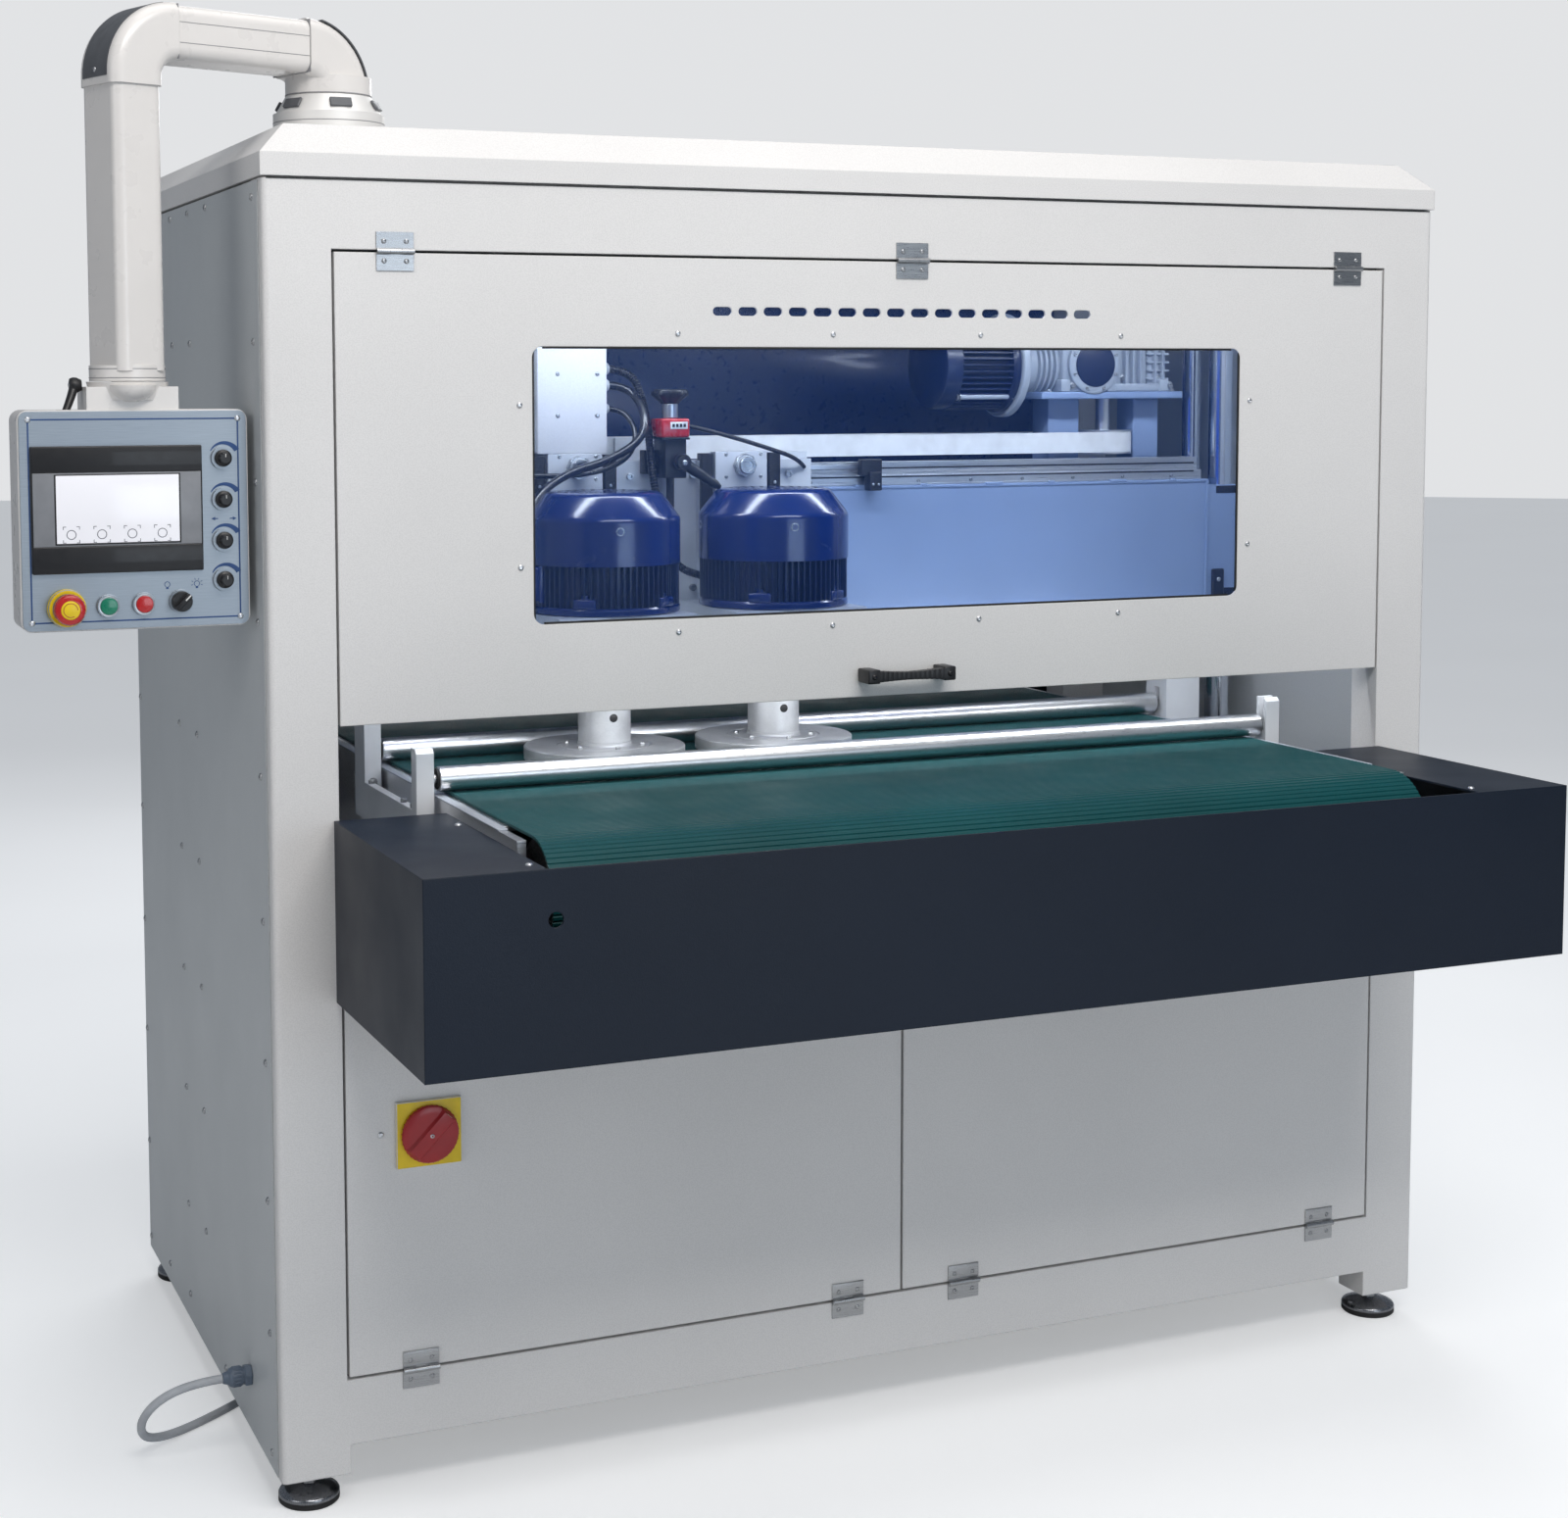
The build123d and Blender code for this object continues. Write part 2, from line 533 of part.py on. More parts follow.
with BuildPart() as lower_door_left:
    tray((-DOOR_X, -2), LOW_DOOR)
    for x in LOW_HINGE_X[:2]:
        moving_leaf(x, LOW_HINGE_Z, 1)
    block((SWITCH[0] - 45, SWITCH[0] + 45), (-6, 0), (SWITCH[1] - 45, SWITCH[1] + 45))
    rod((SWITCH[0], 0, SWITCH[1]), 6 + RUN_GAP, 20, "y", Mode.SUBTRACT)
lower_door_left.part.label = "lower_door_left"

with BuildPart() as lower_door_right:
    tray((2, DOOR_X), LOW_DOOR)
    for x in LOW_HINGE_X[2:]:
        moving_leaf(x, LOW_HINGE_Z, 1)
lower_door_right.part.label = "lower_door_right"

with BuildPart() as switch_handle:
    rod((SWITCH[0], -14, SWITCH[1]), 39, 15, "y")
    with Locations(Location((SWITCH[0], -29, SWITCH[1]), (0, -45, 0))):
        Box(74, 16, 22)
    rod((SWITCH[0], -3, SWITCH[1]), 6, 10, "y")
switch_handle.part.label = "switch_handle"

# ---- swinging arm -------------------------------------------------------------------
with BuildPart() as arm_base:
    with Locations((*ARM_BASE, 0)):
        with Locations((0, 0, ROOF_TOP + 15)):
            Cylinder(75, 30)
        with Locations((0, 0, ROOF_TOP + 42)):
            Cone(72, 58, 24)
        with Locations((0, 0, ROOF_TOP + 58)):
            Cylinder(30, 12)
arm_base.part.label = "arm_base"

with BuildPart() as boom_arm:
    with BuildLine():
        boom_line = FilletPolyline((*ARM_BASE, 1881), (*ARM_BASE, BOOM_Z), (*TUBE, BOOM_Z),
                                   (*TUBE, TUBE_END_Z), radius=58)
    reach = Vector(*ARM_BASE) - Vector(*TUBE)
    with BuildSketch(Plane(boom_line @ 0, x_dir=reach, z_dir=(0, 0, 1))):
        RectangleRounded(BOOM_H, BOOM_W, 14)
    sweep()
    for elbow in boom_line.edges().filter_by(GeomType.CIRCLE):
        with BuildSketch(Plane(elbow @ 0, x_dir=(elbow @ 0 - elbow.arc_center), z_dir=elbow % 0)):
            RectangleRounded(BOOM_H + 2 * ELBOW_WALL, BOOM_W + 2 * ELBOW_WALL, 16)
        sweep(path=elbow)
    with BuildSketch(Plane((*TUBE, BOOM_Z - 58 - ELBOW_LIP), x_dir=reach, z_dir=(0, 0, 1))):
        RectangleRounded(BOOM_H + 2 * ELBOW_WALL, BOOM_W + 2 * ELBOW_WALL, 16)
    extrude(amount=ELBOW_LIP)
    with Locations((*ARM_BASE, 1893)):
        Cylinder(58, 25)
    with Locations((*TUBE, TUBE_END_Z - 3)):
        Cylinder(48, 20)
    with Locations((*TUBE, TUBE_END_Z - 23)):
        Cylinder(20, 24)
    with Locations((*ARM_BASE, 1884)):
        Cylinder(30 + RUN_GAP, 12.4, mode=Mode.SUBTRACT)
boom_arm.part.label = "boom_arm"

# ---- operator panel -----------------------------------------------------------------
SHELL_Y = PANEL_Y + PLATE_T

with BuildPart() as panel_enclosure:
    panel_x = (PANEL_X - PANEL_W / 2, PANEL_X + PANEL_W / 2)
    panel_z = (PANEL_Z - PANEL_H / 2, PANEL_Z + PANEL_H / 2)
    block(panel_x, (SHELL_Y, PANEL_BACK), panel_z)
    fillet(panel_enclosure.edges().filter_by(Axis.Y), radius=14)
    fillet(panel_enclosure.faces().sort_by(Axis.Y)[-1].edges(), radius=8)
    hollow_x = (panel_x[0] + 14, panel_x[1] - 14)
    block(hollow_x, (SHELL_Y, PANEL_BACK - 4), (panel_z[0] + 4, panel_z[1] - 4), Mode.SUBTRACT)
    block((TUBE[0] - 58, TUBE[0] + 58), (60, 136), (panel_z[1] - 2, 1490))
    with Locations((*TUBE, 1484.5)):
        Cone(46, 52, 23.6)
    with Locations((*TUBE, 1487)):
        Cylinder(20 + RUN_GAP, 30, mode=Mode.SUBTRACT)
panel_enclosure.part.label = "panel_enclosure"


def at_panel(dx, dz):
    """A point's x and z from its place on the panel."""
    return PANEL_X + dx, PANEL_Z + dz


SCREEN = (-23, 14)
KNOBS = tuple((112, dz) for dz in (77, 24, -29, -80))
STOP_MUSHROOM, START, STOP, SELECTOR = (-89, -110), (-37, -109), (8, -108), (55, -106)


def bezel(place, radius, front, bore):
    """A raised ring on the faceplate with a through bore."""
    x, z = at_panel(*place)
    rod((x, (front + PANEL_Y) / 2, z), radius, PANEL_Y - front, "y")
    rod((x, PANEL_Y, z), bore + RUN_GAP, 40, "y", Mode.SUBTRACT)


with BuildPart() as panel_faceplate:
    plate_x = (PANEL_X - 143, PANEL_X + 143)
    block(plate_x, (PANEL_Y, SHELL_Y), (PANEL_Z - 138, PANEL_Z + 138))
    fillet(panel_faceplate.edges().filter_by(Axis.Y), radius=10)
    bezel(STOP_MUSHROOM, 24, 45, 8)
    bezel(START, 14.5, 49, 11)
    bezel(STOP, 14.5, 49, 11)
    bezel(SELECTOR, 15, 49, 5)
    for place in KNOBS:
        bezel(place, 15, 51, 3)
panel_faceplate.part.label = "panel_faceplate"

with BuildPart() as touch_screen:
    x, z = at_panel(*SCREEN)
    block((x - 107.5, x + 107.5), (48, PANEL_Y), (z - 80.5, z + 80.5))
    fillet(touch_screen.edges().filter_by(Axis.Y), radius=4)
touch_screen.part.label = "touch_screen"

with BuildPart() as emergency_stop:
    x, z = at_panel(*STOP_MUSHROOM)
    rod((x, 29, z), 19.5, 18, "y")
    rod((x, 46, z), 8, 16, "y")
    fillet(emergency_stop.faces().sort_by(Axis.Y)[0].edges(), radius=5)
emergency_stop.part.label = "emergency_stop"

with BuildPart() as start_button:
    rod((at_panel(*START)[0], 50.5, at_panel(*START)[1]), 11, 6, "y")
start_button.part.label = "start_button"

with BuildPart() as stop_button:
    rod((at_panel(*STOP)[0], 50.5, at_panel(*STOP)[1]), 11, 6, "y")
stop_button.part.label = "stop_button"


def turn_knob(place, radius, front, back, spigot):
    """A knob with a grip ridge, on a spigot through the faceplate."""
    x, z = at_panel(*place)
    rod((x, (front + back) / 2, z), radius, back - front, "y")
    rod((x, (back + SHELL_Y) / 2, z), spigot, SHELL_Y - back, "y")


with BuildPart() as light_selector:
    turn_knob(SELECTOR, 13, 42, 48.7, 5)
    with Locations(Location((at_panel(*SELECTOR)[0], 37, at_panel(*SELECTOR)[1]), (0, -45, 0))):
        Box(26, 12, 7)
light_selector.part.label = "light_selector"

speed_knobs = []
for number, place in enumerate(KNOBS, start=1):
    with BuildPart() as speed_knob:
        turn_knob(place, 9.5, 34, 50.7, 3)
    speed_knob.part.label = f"speed_knob_{number}"
    speed_knobs.append(speed_knob)

with BuildPart() as panel_lever:
    rod((-1136.5, 98, 1492), 8, 14, "x")
    with Locations(Location((-1140, 96, 1492), (-24, -125, 0))):
        Cylinder(5.5, 36, align=(Align.CENTER, Align.CENTER, Align.MIN))
panel_lever.part.label = "panel_lever"

# ---- mains cable --------------------------------------------------------------------
GLAND_TIP_X = -957.0

with BuildPart() as cable_gland:
    with BuildSketch(Plane.YZ.offset(-CAB_W / 2 - PANEL_T)):
        with Locations(GLAND):
            RegularPolygon(15, 6)
    extrude(amount=-12)
    rod((-936, *GLAND), 12, 20, "x")
    with Locations(Location((-951.5, *GLAND), (0, -90, 0))):
        Cone(11, 7.5, 11)
    rod(((GLAND_TIP_X - 930) / 2, *GLAND), 6.6, 27, "x")
cable_gland.part.label = "cable_gland"

MAINS_ROUTE = ((GLAND_TIP_X, 178, 128), (-997, 179, 127), (-1042, 190, 108), (-1064, 216, 70), (-1054, 254, 28),
               (-1012, 296, 7), (-940, 340, 6.3), (-860, 402, 6.3), (-812, 500, 6.3), (-798, 630, 6.3),
               (-812, 760, 6.3), (-808, 880, 6.3), (-792, 985, 6.3), (-780, 1070, 6.3), (-773, 1130, 6.3))
COIL_TAIL = ((-676, 1202, 19), (-645, 1202, 21), (-620, 1202, 29), (PLUG_X, PLUG_Y, PLUG_R))

with BuildPart() as mains_cable:
    with BuildLine():
        mains_line, mains_radii = route(MAINS_ROUTE)
    with BuildSketch(Plane(mains_line @ 0, z_dir=mains_line % 0)):
        Circle(CABLE_D / 2)
    sweep()
    with BuildLine():
        tail_line, tail_radii = route(COIL_TAIL)
    with BuildSketch(Plane(tail_line @ 0, z_dir=tail_line % 0)):
        Circle(CABLE_D / 2)
    sweep()
mains_cable.part.label = "mains_cable"
print("mains cable radii", [round(radius) for radius in (*mains_radii, *tail_radii)])
cable_length = mains_line.length + tail_line.length
print("mains cable length", round(cable_length), "volume ratio",
      round(mains_cable.part.volume / (math.pi * CABLE_D ** 2 / 4 * cable_length), 4))

with BuildPart() as cable_coil:
    with BuildSketch(Plane.XY):
        with Locations(COIL_CENTRE):
            Circle(COIL_R + CABLE_D)
            Circle(COIL_R - CABLE_D, mode=Mode.SUBTRACT)
    extrude(amount=2.4 * CABLE_D)
cable_coil.part.label = "cable_coil"

# industrial plug lying on its side at the end of the coil's last turn
with BuildPart() as mains_plug:
    with Locations(Location((PLUG_X + PLUG_NECK / 2, PLUG_Y, PLUG_R), (0, 90, 0))):
        Cone(9, PLUG_BODY_R - 2, PLUG_NECK)
    rod((PLUG_X + PLUG_NECK + PLUG_BODY / 2, PLUG_Y, PLUG_R), PLUG_BODY_R, PLUG_BODY, "x")
    rod((PLUG_X + PLUG_NECK + PLUG_BODY + PLUG_COLLAR / 2, PLUG_Y, PLUG_R), PLUG_R, PLUG_COLLAR, "x")
mains_plug.part.label = "mains_plug"

# ---- write every piece, with the origin in the middle of the footprint on the floor ---------
PANEL_EDGE = PANEL_X - PANEL_W / 2
RIGHT_EDGE = CAB_W / 2 + PANEL_T + PANEL_SCREW_H
FOOTPRINT_CENTRE = Location((-(PANEL_EDGE + RIGHT_EDGE) / 2, -MID_Y, 0))

os.makedirs("parts", exist_ok=True)
for piece in (
    front_frame, rear_frame, base_frame, side_panels, roof_cover, levelling_feet, frame_hinge_leaves,
    infeed_cover, outfeed_cover, conveyor_frame, conveyor_belt, tail_drum, drive_drum, conveyor_gearmotor,
    hold_down_brackets, front_roller_axle, front_roller, rear_roller_axle, rear_roller,
    guide_columns, cross_beam, linear_rails, traverse_gearmotor, drive_pulley, idler_pulley, timing_belt,
    carriage_plate, head_motors, junction_box, position_indicator, star_knob, clamp_lever, head_cables,
    left_spindle, right_spindle, upper_door, window_pane, door_handle, upper_hinge_leaves,
    lower_door_left, lower_door_right, switch_handle, arm_base, boom_arm,
    panel_enclosure, panel_faceplate, touch_screen, emergency_stop, start_button, stop_button,
    light_selector, *speed_knobs, panel_lever, cable_gland, mains_cable, cable_coil, mains_plug,
):
    placed = piece.part.moved(FOOTPRINT_CENTRE)
    placed.label = piece.part.label
    export_step(placed, f"parts/{placed.label}.step")
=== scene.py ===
"""Looks of the through-feed disc sanding machine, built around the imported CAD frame.

Lengths are written in millimetres in the machine's own axes: x = 0 is the cabinet's centre
plane, y = 0 its front face and z = 0 the floor. place() turns them into the row frame.
"""
import math
import bmesh
import bpy
from mathutils import Matrix, Vector


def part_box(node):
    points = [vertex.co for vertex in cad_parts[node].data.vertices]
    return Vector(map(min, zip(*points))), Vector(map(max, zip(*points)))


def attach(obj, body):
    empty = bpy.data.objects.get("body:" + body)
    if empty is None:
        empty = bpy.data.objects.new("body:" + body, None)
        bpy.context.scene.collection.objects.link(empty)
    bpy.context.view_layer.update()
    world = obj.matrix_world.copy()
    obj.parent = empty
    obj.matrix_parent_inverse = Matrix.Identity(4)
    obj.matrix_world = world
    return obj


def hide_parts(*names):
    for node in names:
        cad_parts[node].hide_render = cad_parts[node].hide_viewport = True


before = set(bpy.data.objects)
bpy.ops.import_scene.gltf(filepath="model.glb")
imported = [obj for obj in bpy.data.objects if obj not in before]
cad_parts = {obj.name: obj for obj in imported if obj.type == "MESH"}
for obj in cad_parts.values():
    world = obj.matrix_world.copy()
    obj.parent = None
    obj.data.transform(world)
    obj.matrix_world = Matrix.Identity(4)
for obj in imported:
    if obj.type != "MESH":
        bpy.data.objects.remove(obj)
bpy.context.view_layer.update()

MM = 0.001
front_low, front_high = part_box("front_frame")
ORIGIN = Vector(((front_low.x + front_high.x) / 2, front_low.y, 0.0))
X, Y, Z = Vector((1, 0, 0)), Vector((0, 1, 0)), Vector((0, 0, 1))


def place(x, y, z):
    """A point of the machine, in millimetres, as a point of the row frame, in metres."""
    return ORIGIN + Vector((x, y, z)) * MM


# ---- machine dimensions that the pieces share -------------------------------------------
CAB_W, CAB_D = 1830, 985
SIDE_X, REAR_SHEET_Y = CAB_W / 2 + 2, CAB_D - 9
UPPER_HINGES_X, UPPER_LEAF_Z, UPPER_FIXED_LEAF_Z = (-742, 10, 756), 1650.5, 1676
LOWER_HINGES_X = {"lower_door_left": (-724.6, -87.5), "lower_door_right": (101.4, 733.7)}
LOWER_HINGE_Z, LOWER_LEAF_Z, LOWER_FIXED_LEAF_Z = 175, 188, 162
BELT_T, BELT_X, BELT_PITCH = 4, 650, 8.0
DRUM_Y, DRUM_Z, DRUM_R = (-262, 1247), 861, 77
ROLLERS_Y, ROLLER_Z, ROLLER_R, ROLLER_X = (87, 378), 957, 16.8, 669
SPINDLES_X, SPINDLE_Y = (-369, -98), 234
DISC_R, DISC_Z, SLEEVE_R = 118, (947, 967), 38.5
GEARBOX_Z, MOTOR_AXIS, STAR_AXIS = 1522, (0, 500, 1521), (-220, 342)
TUBE, ARM_BASE, BOOM_Z = (-1071, 98), (-775, 204), 1941
BEND_R, BOOM_HALF_W, BOOM_HALF_H, SHELL = 58, 45, 34, 3
PANEL, PANEL_Y, SCREEN = (-1071, 1321), 55, (-23, 14)
EMERGENCY_STOP, START, STOP, SELECTOR = (-89, -110), (-37, -109), (8, -108), (55, -106)
KNOBS = tuple((112, dz) for dz in (77, 24, -29, -80))
GLAND = (-957, 178, 128)
CABLE_D = 12


# ---- camera and light ---------------------------------------------------------------------
def add_camera():
    """The photograph's viewpoint: low lens height, turned to the machine's left front corner."""
    camera = bpy.data.objects.new("camera", bpy.data.cameras.new("camera"))
    bpy.context.scene.collection.objects.link(camera)
    camera.data.lens = 55.59
    camera.data.sensor_width = 36
    camera.data.shift_x = 0.0723
    camera.data.shift_y = -0.1156
    camera.data.clip_end = 100
    yaw, pitch, roll = math.radians(22.1), math.radians(-4.5), math.radians(-0.2)
    ahead = Vector((math.sin(yaw) * math.cos(pitch), math.cos(yaw) * math.cos(pitch), math.sin(pitch)))
    level = Vector((math.cos(yaw), -math.sin(yaw), 0))
    upright = level.cross(ahead)
    right = level * math.cos(roll) + upright * math.sin(roll)
    up = upright * math.cos(roll) - level * math.sin(roll)
    turned = Matrix((right, up, -ahead)).transposed().to_4x4()
    camera.matrix_world = Matrix.Translation(place(-1599.3, -3055.3, 1486.9)) @ turned
    bpy.context.scene.camera = camera


def add_light(name, where, towards, size, power, color=(1, 1, 1)):
    """A soft rectangular lamp."""
    lamp = bpy.data.lights.new(name, "AREA")
    lamp.shape = "RECTANGLE"
    lamp.size, lamp.size_y = size
    lamp.energy = power
    lamp.color = color
    holder = bpy.data.objects.new(name, lamp)
    bpy.context.scene.collection.objects.link(holder)
    holder.location = place(*where)
    holder.rotation_euler = (place(*towards) - holder.location).to_track_quat("-Z", "Y").to_euler()


def add_studio():
    """Pale floor, pale surroundings and soft lamps."""
    world = bpy.data.worlds.new("studio")
    bpy.context.scene.world = world
    world.use_nodes = True
    nodes, links = world.node_tree.nodes, world.node_tree.links
    backdrop = nodes["Background"]
    backdrop.inputs["Color"].default_value = (0.78, 0.87, 1.0, 1)
    backdrop.inputs["Strength"].default_value = 0.24
    # the camera sees a plain grey; only the light that reaches the machine comes from the backdrop
    seen = nodes.new("ShaderNodeBackground")
    seen.inputs["Color"].default_value = (0.76, 0.77, 0.785, 1)
    path, pick = nodes.new("ShaderNodeLightPath"), nodes.new("ShaderNodeMixShader")
    links.new(path.outputs["Is Camera Ray"], pick.inputs["Fac"])
    links.new(backdrop.outputs["Background"], pick.inputs[1])
    links.new(seen.outputs["Background"], pick.inputs[2])
    links.new(pick.outputs["Shader"], nodes["World Output"].inputs["Surface"])
    bpy.ops.mesh.primitive_circle_add(vertices=96, radius=30, fill_type="NGON", location=(0, 0, 0))
    floor = bpy.context.object
    floor.name = "floor"
    floor.data.materials.append(plain_floor())
    add_light("key", (-200, -2700, 3900), (0, 0, 1600), (3.0, 1.2), 100, (1.0, 0.965, 0.93))
    add_light("front", (900, -5200, 1300), (0, 0, 1000), (2.4, 1.6), 36, (0.80, 0.90, 1.0))
    add_light("left", (-4400, -1500, 2300), (-900, 300, 1400), (2.0, 2.0), 20, (1.0, 0.98, 0.96))
    add_light("top", (0, -300, 4600), (0, 200, 1800), (3.2, 2.2), 44, (1.0, 0.98, 0.96))
    add_light("rear", (1500, 4200, 3400), (0, 500, 900), (3.0, 2.4), 70, (0.98, 0.99, 1.0))
    add_light("throat", (0, 52, 1064), (0, 260, 950), (1.5, 0.03), 1.5, (0.96, 0.98, 1.0))
    add_light("cabin", (80, 160, 1688), (80, 330, 1100), (1.5, 0.05), 5.2, (0.92, 0.95, 1.0))


# ---- materials ------------------------------------------------------------------------------
class Nodes:
    """A material's node tree, with short ways to add what the recipes below share."""

    def __init__(self, name):
        self.material = bpy.data.materials.new(name)
        self.material.use_nodes = True
        self.tree = self.material.node_tree
        self.shader = self.tree.nodes["Principled BSDF"]
        self.coordinate = self.add("ShaderNodeTexCoord").outputs["Object"]

    def add(self, kind, **settings):
        node = self.tree.nodes.new(kind)
        for key, value in settings.items():
            if hasattr(node, key):
                setattr(node, key, value)
            else:
                node.inputs[key].default_value = value
        return node

    def link(self, source, target):
        self.tree.links.new(source, target)
        return target.node

    def set(self, **values):
        for key, value in values.items():
            self.shader.inputs[key.replace("_", " ")].default_value = value

    def stretched(self, scale, offset=(0, 0, 0)):
        """Object coordinates, scaled differently along each axis."""
        mapping = self.add("ShaderNodeMapping")
        mapping.inputs["Scale"].default_value = scale
        mapping.inputs["Location"].default_value = offset
        self.link(self.coordinate, mapping.inputs["Vector"])
        return mapping.outputs["Vector"]

    def noise(self, scale, detail=2.0, roughness=0.5, vector=None):
        node = self.add("ShaderNodeTexNoise", Scale=scale, Detail=detail, Roughness=roughness)
        self.link(vector or self.coordinate, node.inputs["Vector"])
        return node.outputs["Fac"]

    def ramp(self, source, low, high, start=0.3, end=0.7):
        """Maps a grey value to colours between low and high."""
        node = self.add("ShaderNodeValToRGB")
        node.color_ramp.elements[0].position = start
        node.color_ramp.elements[1].position = end
        node.color_ramp.elements[0].color = (*low, 1)
        node.color_ramp.elements[1].color = (*high, 1)
        self.link(source, node.inputs["Fac"])
        return node.outputs["Color"]

    def blend(self, first, second):
        """One colour multiplied by the other."""
        node = self.add("ShaderNodeMix", data_type="RGBA", blend_type="MULTIPLY")
        node.inputs["Factor"].default_value = 1.0
        self.link(first, node.inputs["A"])
        self.link(second, node.inputs["B"])
        return node.outputs["Result"]

    def range(self, source, low, high):
        """Maps the middle of a grey value's span to numbers between low and high."""
        node = self.add("ShaderNodeMapRange")
        for key, value in (("From Min", 0.3), ("From Max", 0.7), ("To Min", low), ("To Max", high)):
            node.inputs[key].default_value = value
        self.link(source, node.inputs["Value"])
        return node.outputs["Result"]

    def bump(self, height, strength, distance, normal=None):
        node = self.add("ShaderNodeBump", Strength=strength, Distance=distance)
        self.link(height, node.inputs["Height"])
        if normal is not None:
            self.link(normal, node.inputs["Normal"])
        return node.outputs["Normal"]

    def rounded(self, radius):
        node = self.add("ShaderNodeBevel", samples=4)
        node.inputs["Radius"].default_value = radius
        return node.outputs["Normal"]

    def use(self, color=None, roughness=None, normal=None):
        for key, source in (("Base Color", color), ("Roughness", roughness), ("Normal", normal)):
            if source is not None:
                self.link(source, self.shader.inputs[key])
        return self.material


def plain_floor():
    n = Nodes("floor")
    shade = n.noise(0.8, 3)
    n.set(Roughness=0.75, Specular_IOR_Level=0.3, Emission_Color=(0.86, 0.87, 0.88, 1))
    seen = n.add("ShaderNodeMath", operation="MULTIPLY")
    seen.inputs[1].default_value = 0.42
    n.link(n.add("ShaderNodeLightPath").outputs["Is Camera Ray"], seen.inputs[0])
    n.link(seen.outputs["Value"], n.shader.inputs["Emission Strength"])
    return n.use(n.ramp(shade, (0.74, 0.75, 0.76), (0.78, 0.79, 0.80)))


def powder_coat(name, color, roughness=0.42, grain=620, depth=0.00022, edge=0.0022, dirt=0.05, shine=0.5):
    """Textured powder coat: orange-peel grain, faint cloudiness and rounded sheet edges."""
    n = Nodes(name)
    n.set(Specular_IOR_Level=shine)
    darker = tuple(c * (1 - dirt) for c in color)
    cloud = n.ramp(n.noise(2.2, 4), darker, color, 0.35, 0.65)
    speck = n.ramp(n.noise(grain * 0.9, 1), (0.93, 0.93, 0.93), (1, 1, 1), 0.35, 0.6)
    peel = n.noise(grain, 2, 0.6)
    gloss = n.range(n.noise(6, 3), roughness - 0.05, roughness + 0.07)
    normal = n.bump(peel, 0.55, depth, n.rounded(edge))
    return n.use(n.blend(cloud, speck), gloss, normal)


def enamel(name, color, roughness=0.28, coat=0.4, edge=0.0015, mottle=0.9):
    """Glossy brushed-on or sprayed enamel over a casting."""
    n = Nodes(name)
    n.set(Coat_Weight=coat, Coat_Roughness=0.12)
    shade = n.ramp(n.noise(9, 4), tuple(c * mottle for c in color), color, 0.35, 0.65)
    normal = n.bump(n.noise(160, 2), 0.25, 0.0003, n.rounded(edge))
    return n.use(shade, n.range(n.noise(30, 3), roughness - 0.06, roughness + 0.08), normal)


def brushed(name, color, along, roughness, strength=0.18):
    """Metal with fine drawn lines; along holds the scale of the grain on each axis."""
    n = Nodes(name)
    n.set(Metallic=1.0)
    lines = n.noise(28, 3, 0.6, n.stretched(along))
    tint = n.ramp(lines, tuple(c * 0.80 for c in color), color, 0.3, 0.7)
    patch = n.ramp(n.noise(5, 3), (0.9, 0.9, 0.92), (1, 1, 1))
    gloss = n.range(lines, roughness - 0.07, roughness + 0.1)
    return n.use(n.blend(tint, patch), gloss, n.bump(lines, strength, 0.0002, n.rounded(0.0006)))


def turned(name, color, centre, roughness=0.26):
    """Lathe-turned steel: rings round an upright axis."""
    n = Nodes(name)
    n.set(Metallic=0.45)
    offset = tuple(-c for c in centre)
    rings = n.add("ShaderNodeTexWave", wave_type="RINGS", rings_direction="Z")
    rings.inputs["Scale"].default_value = 210
    rings.inputs["Distortion"].default_value = 1.2
    rings.inputs["Detail Scale"].default_value = 3
    n.link(n.stretched((1, 1, 1), offset), rings.inputs["Vector"])
    height = rings.outputs["Fac"]
    stain = n.ramp(n.noise(22, 4), tuple(c * 0.78 for c in color), color, 0.3, 0.62)
    grain = n.ramp(height, (0.86, 0.86, 0.87), (1, 1, 1), 0.2, 0.9)
    gloss = n.range(n.noise(40, 3), roughness - 0.05, roughness + 0.12)
    return n.use(n.blend(stain, grain), gloss, n.bump(height, 0.16, 0.0002))


def polished(name, color, roughness=0.1, along=(2, 40, 40)):
    """Ground and polished hard chrome with faint grinding marks."""
    n = Nodes(name)
    n.set(Metallic=1.0)
    marks = n.noise(40, 2, 0.5, n.stretched(along))
    shade = n.ramp(n.noise(3, 3), tuple(c * 0.9 for c in color), color)
    return n.use(shade, n.range(marks, roughness, roughness + 0.12), n.bump(marks, 0.02, 0.0001))


def moulded(name, color, roughness=0.42, grain=700, coat=0.0, edge=0.0008):
    """Moulded plastic with a fine spark-eroded grain."""
    n = Nodes(name)
    n.set(Coat_Weight=coat, Coat_Roughness=0.08)
    shade = n.ramp(n.noise(40, 3), tuple(c * 0.85 for c in color), color)
    gloss = n.range(n.noise(90, 2), roughness - 0.05, roughness + 0.08)
    return n.use(shade, gloss, n.bump(n.noise(grain, 1), 0.2, 0.0001, n.rounded(edge)))


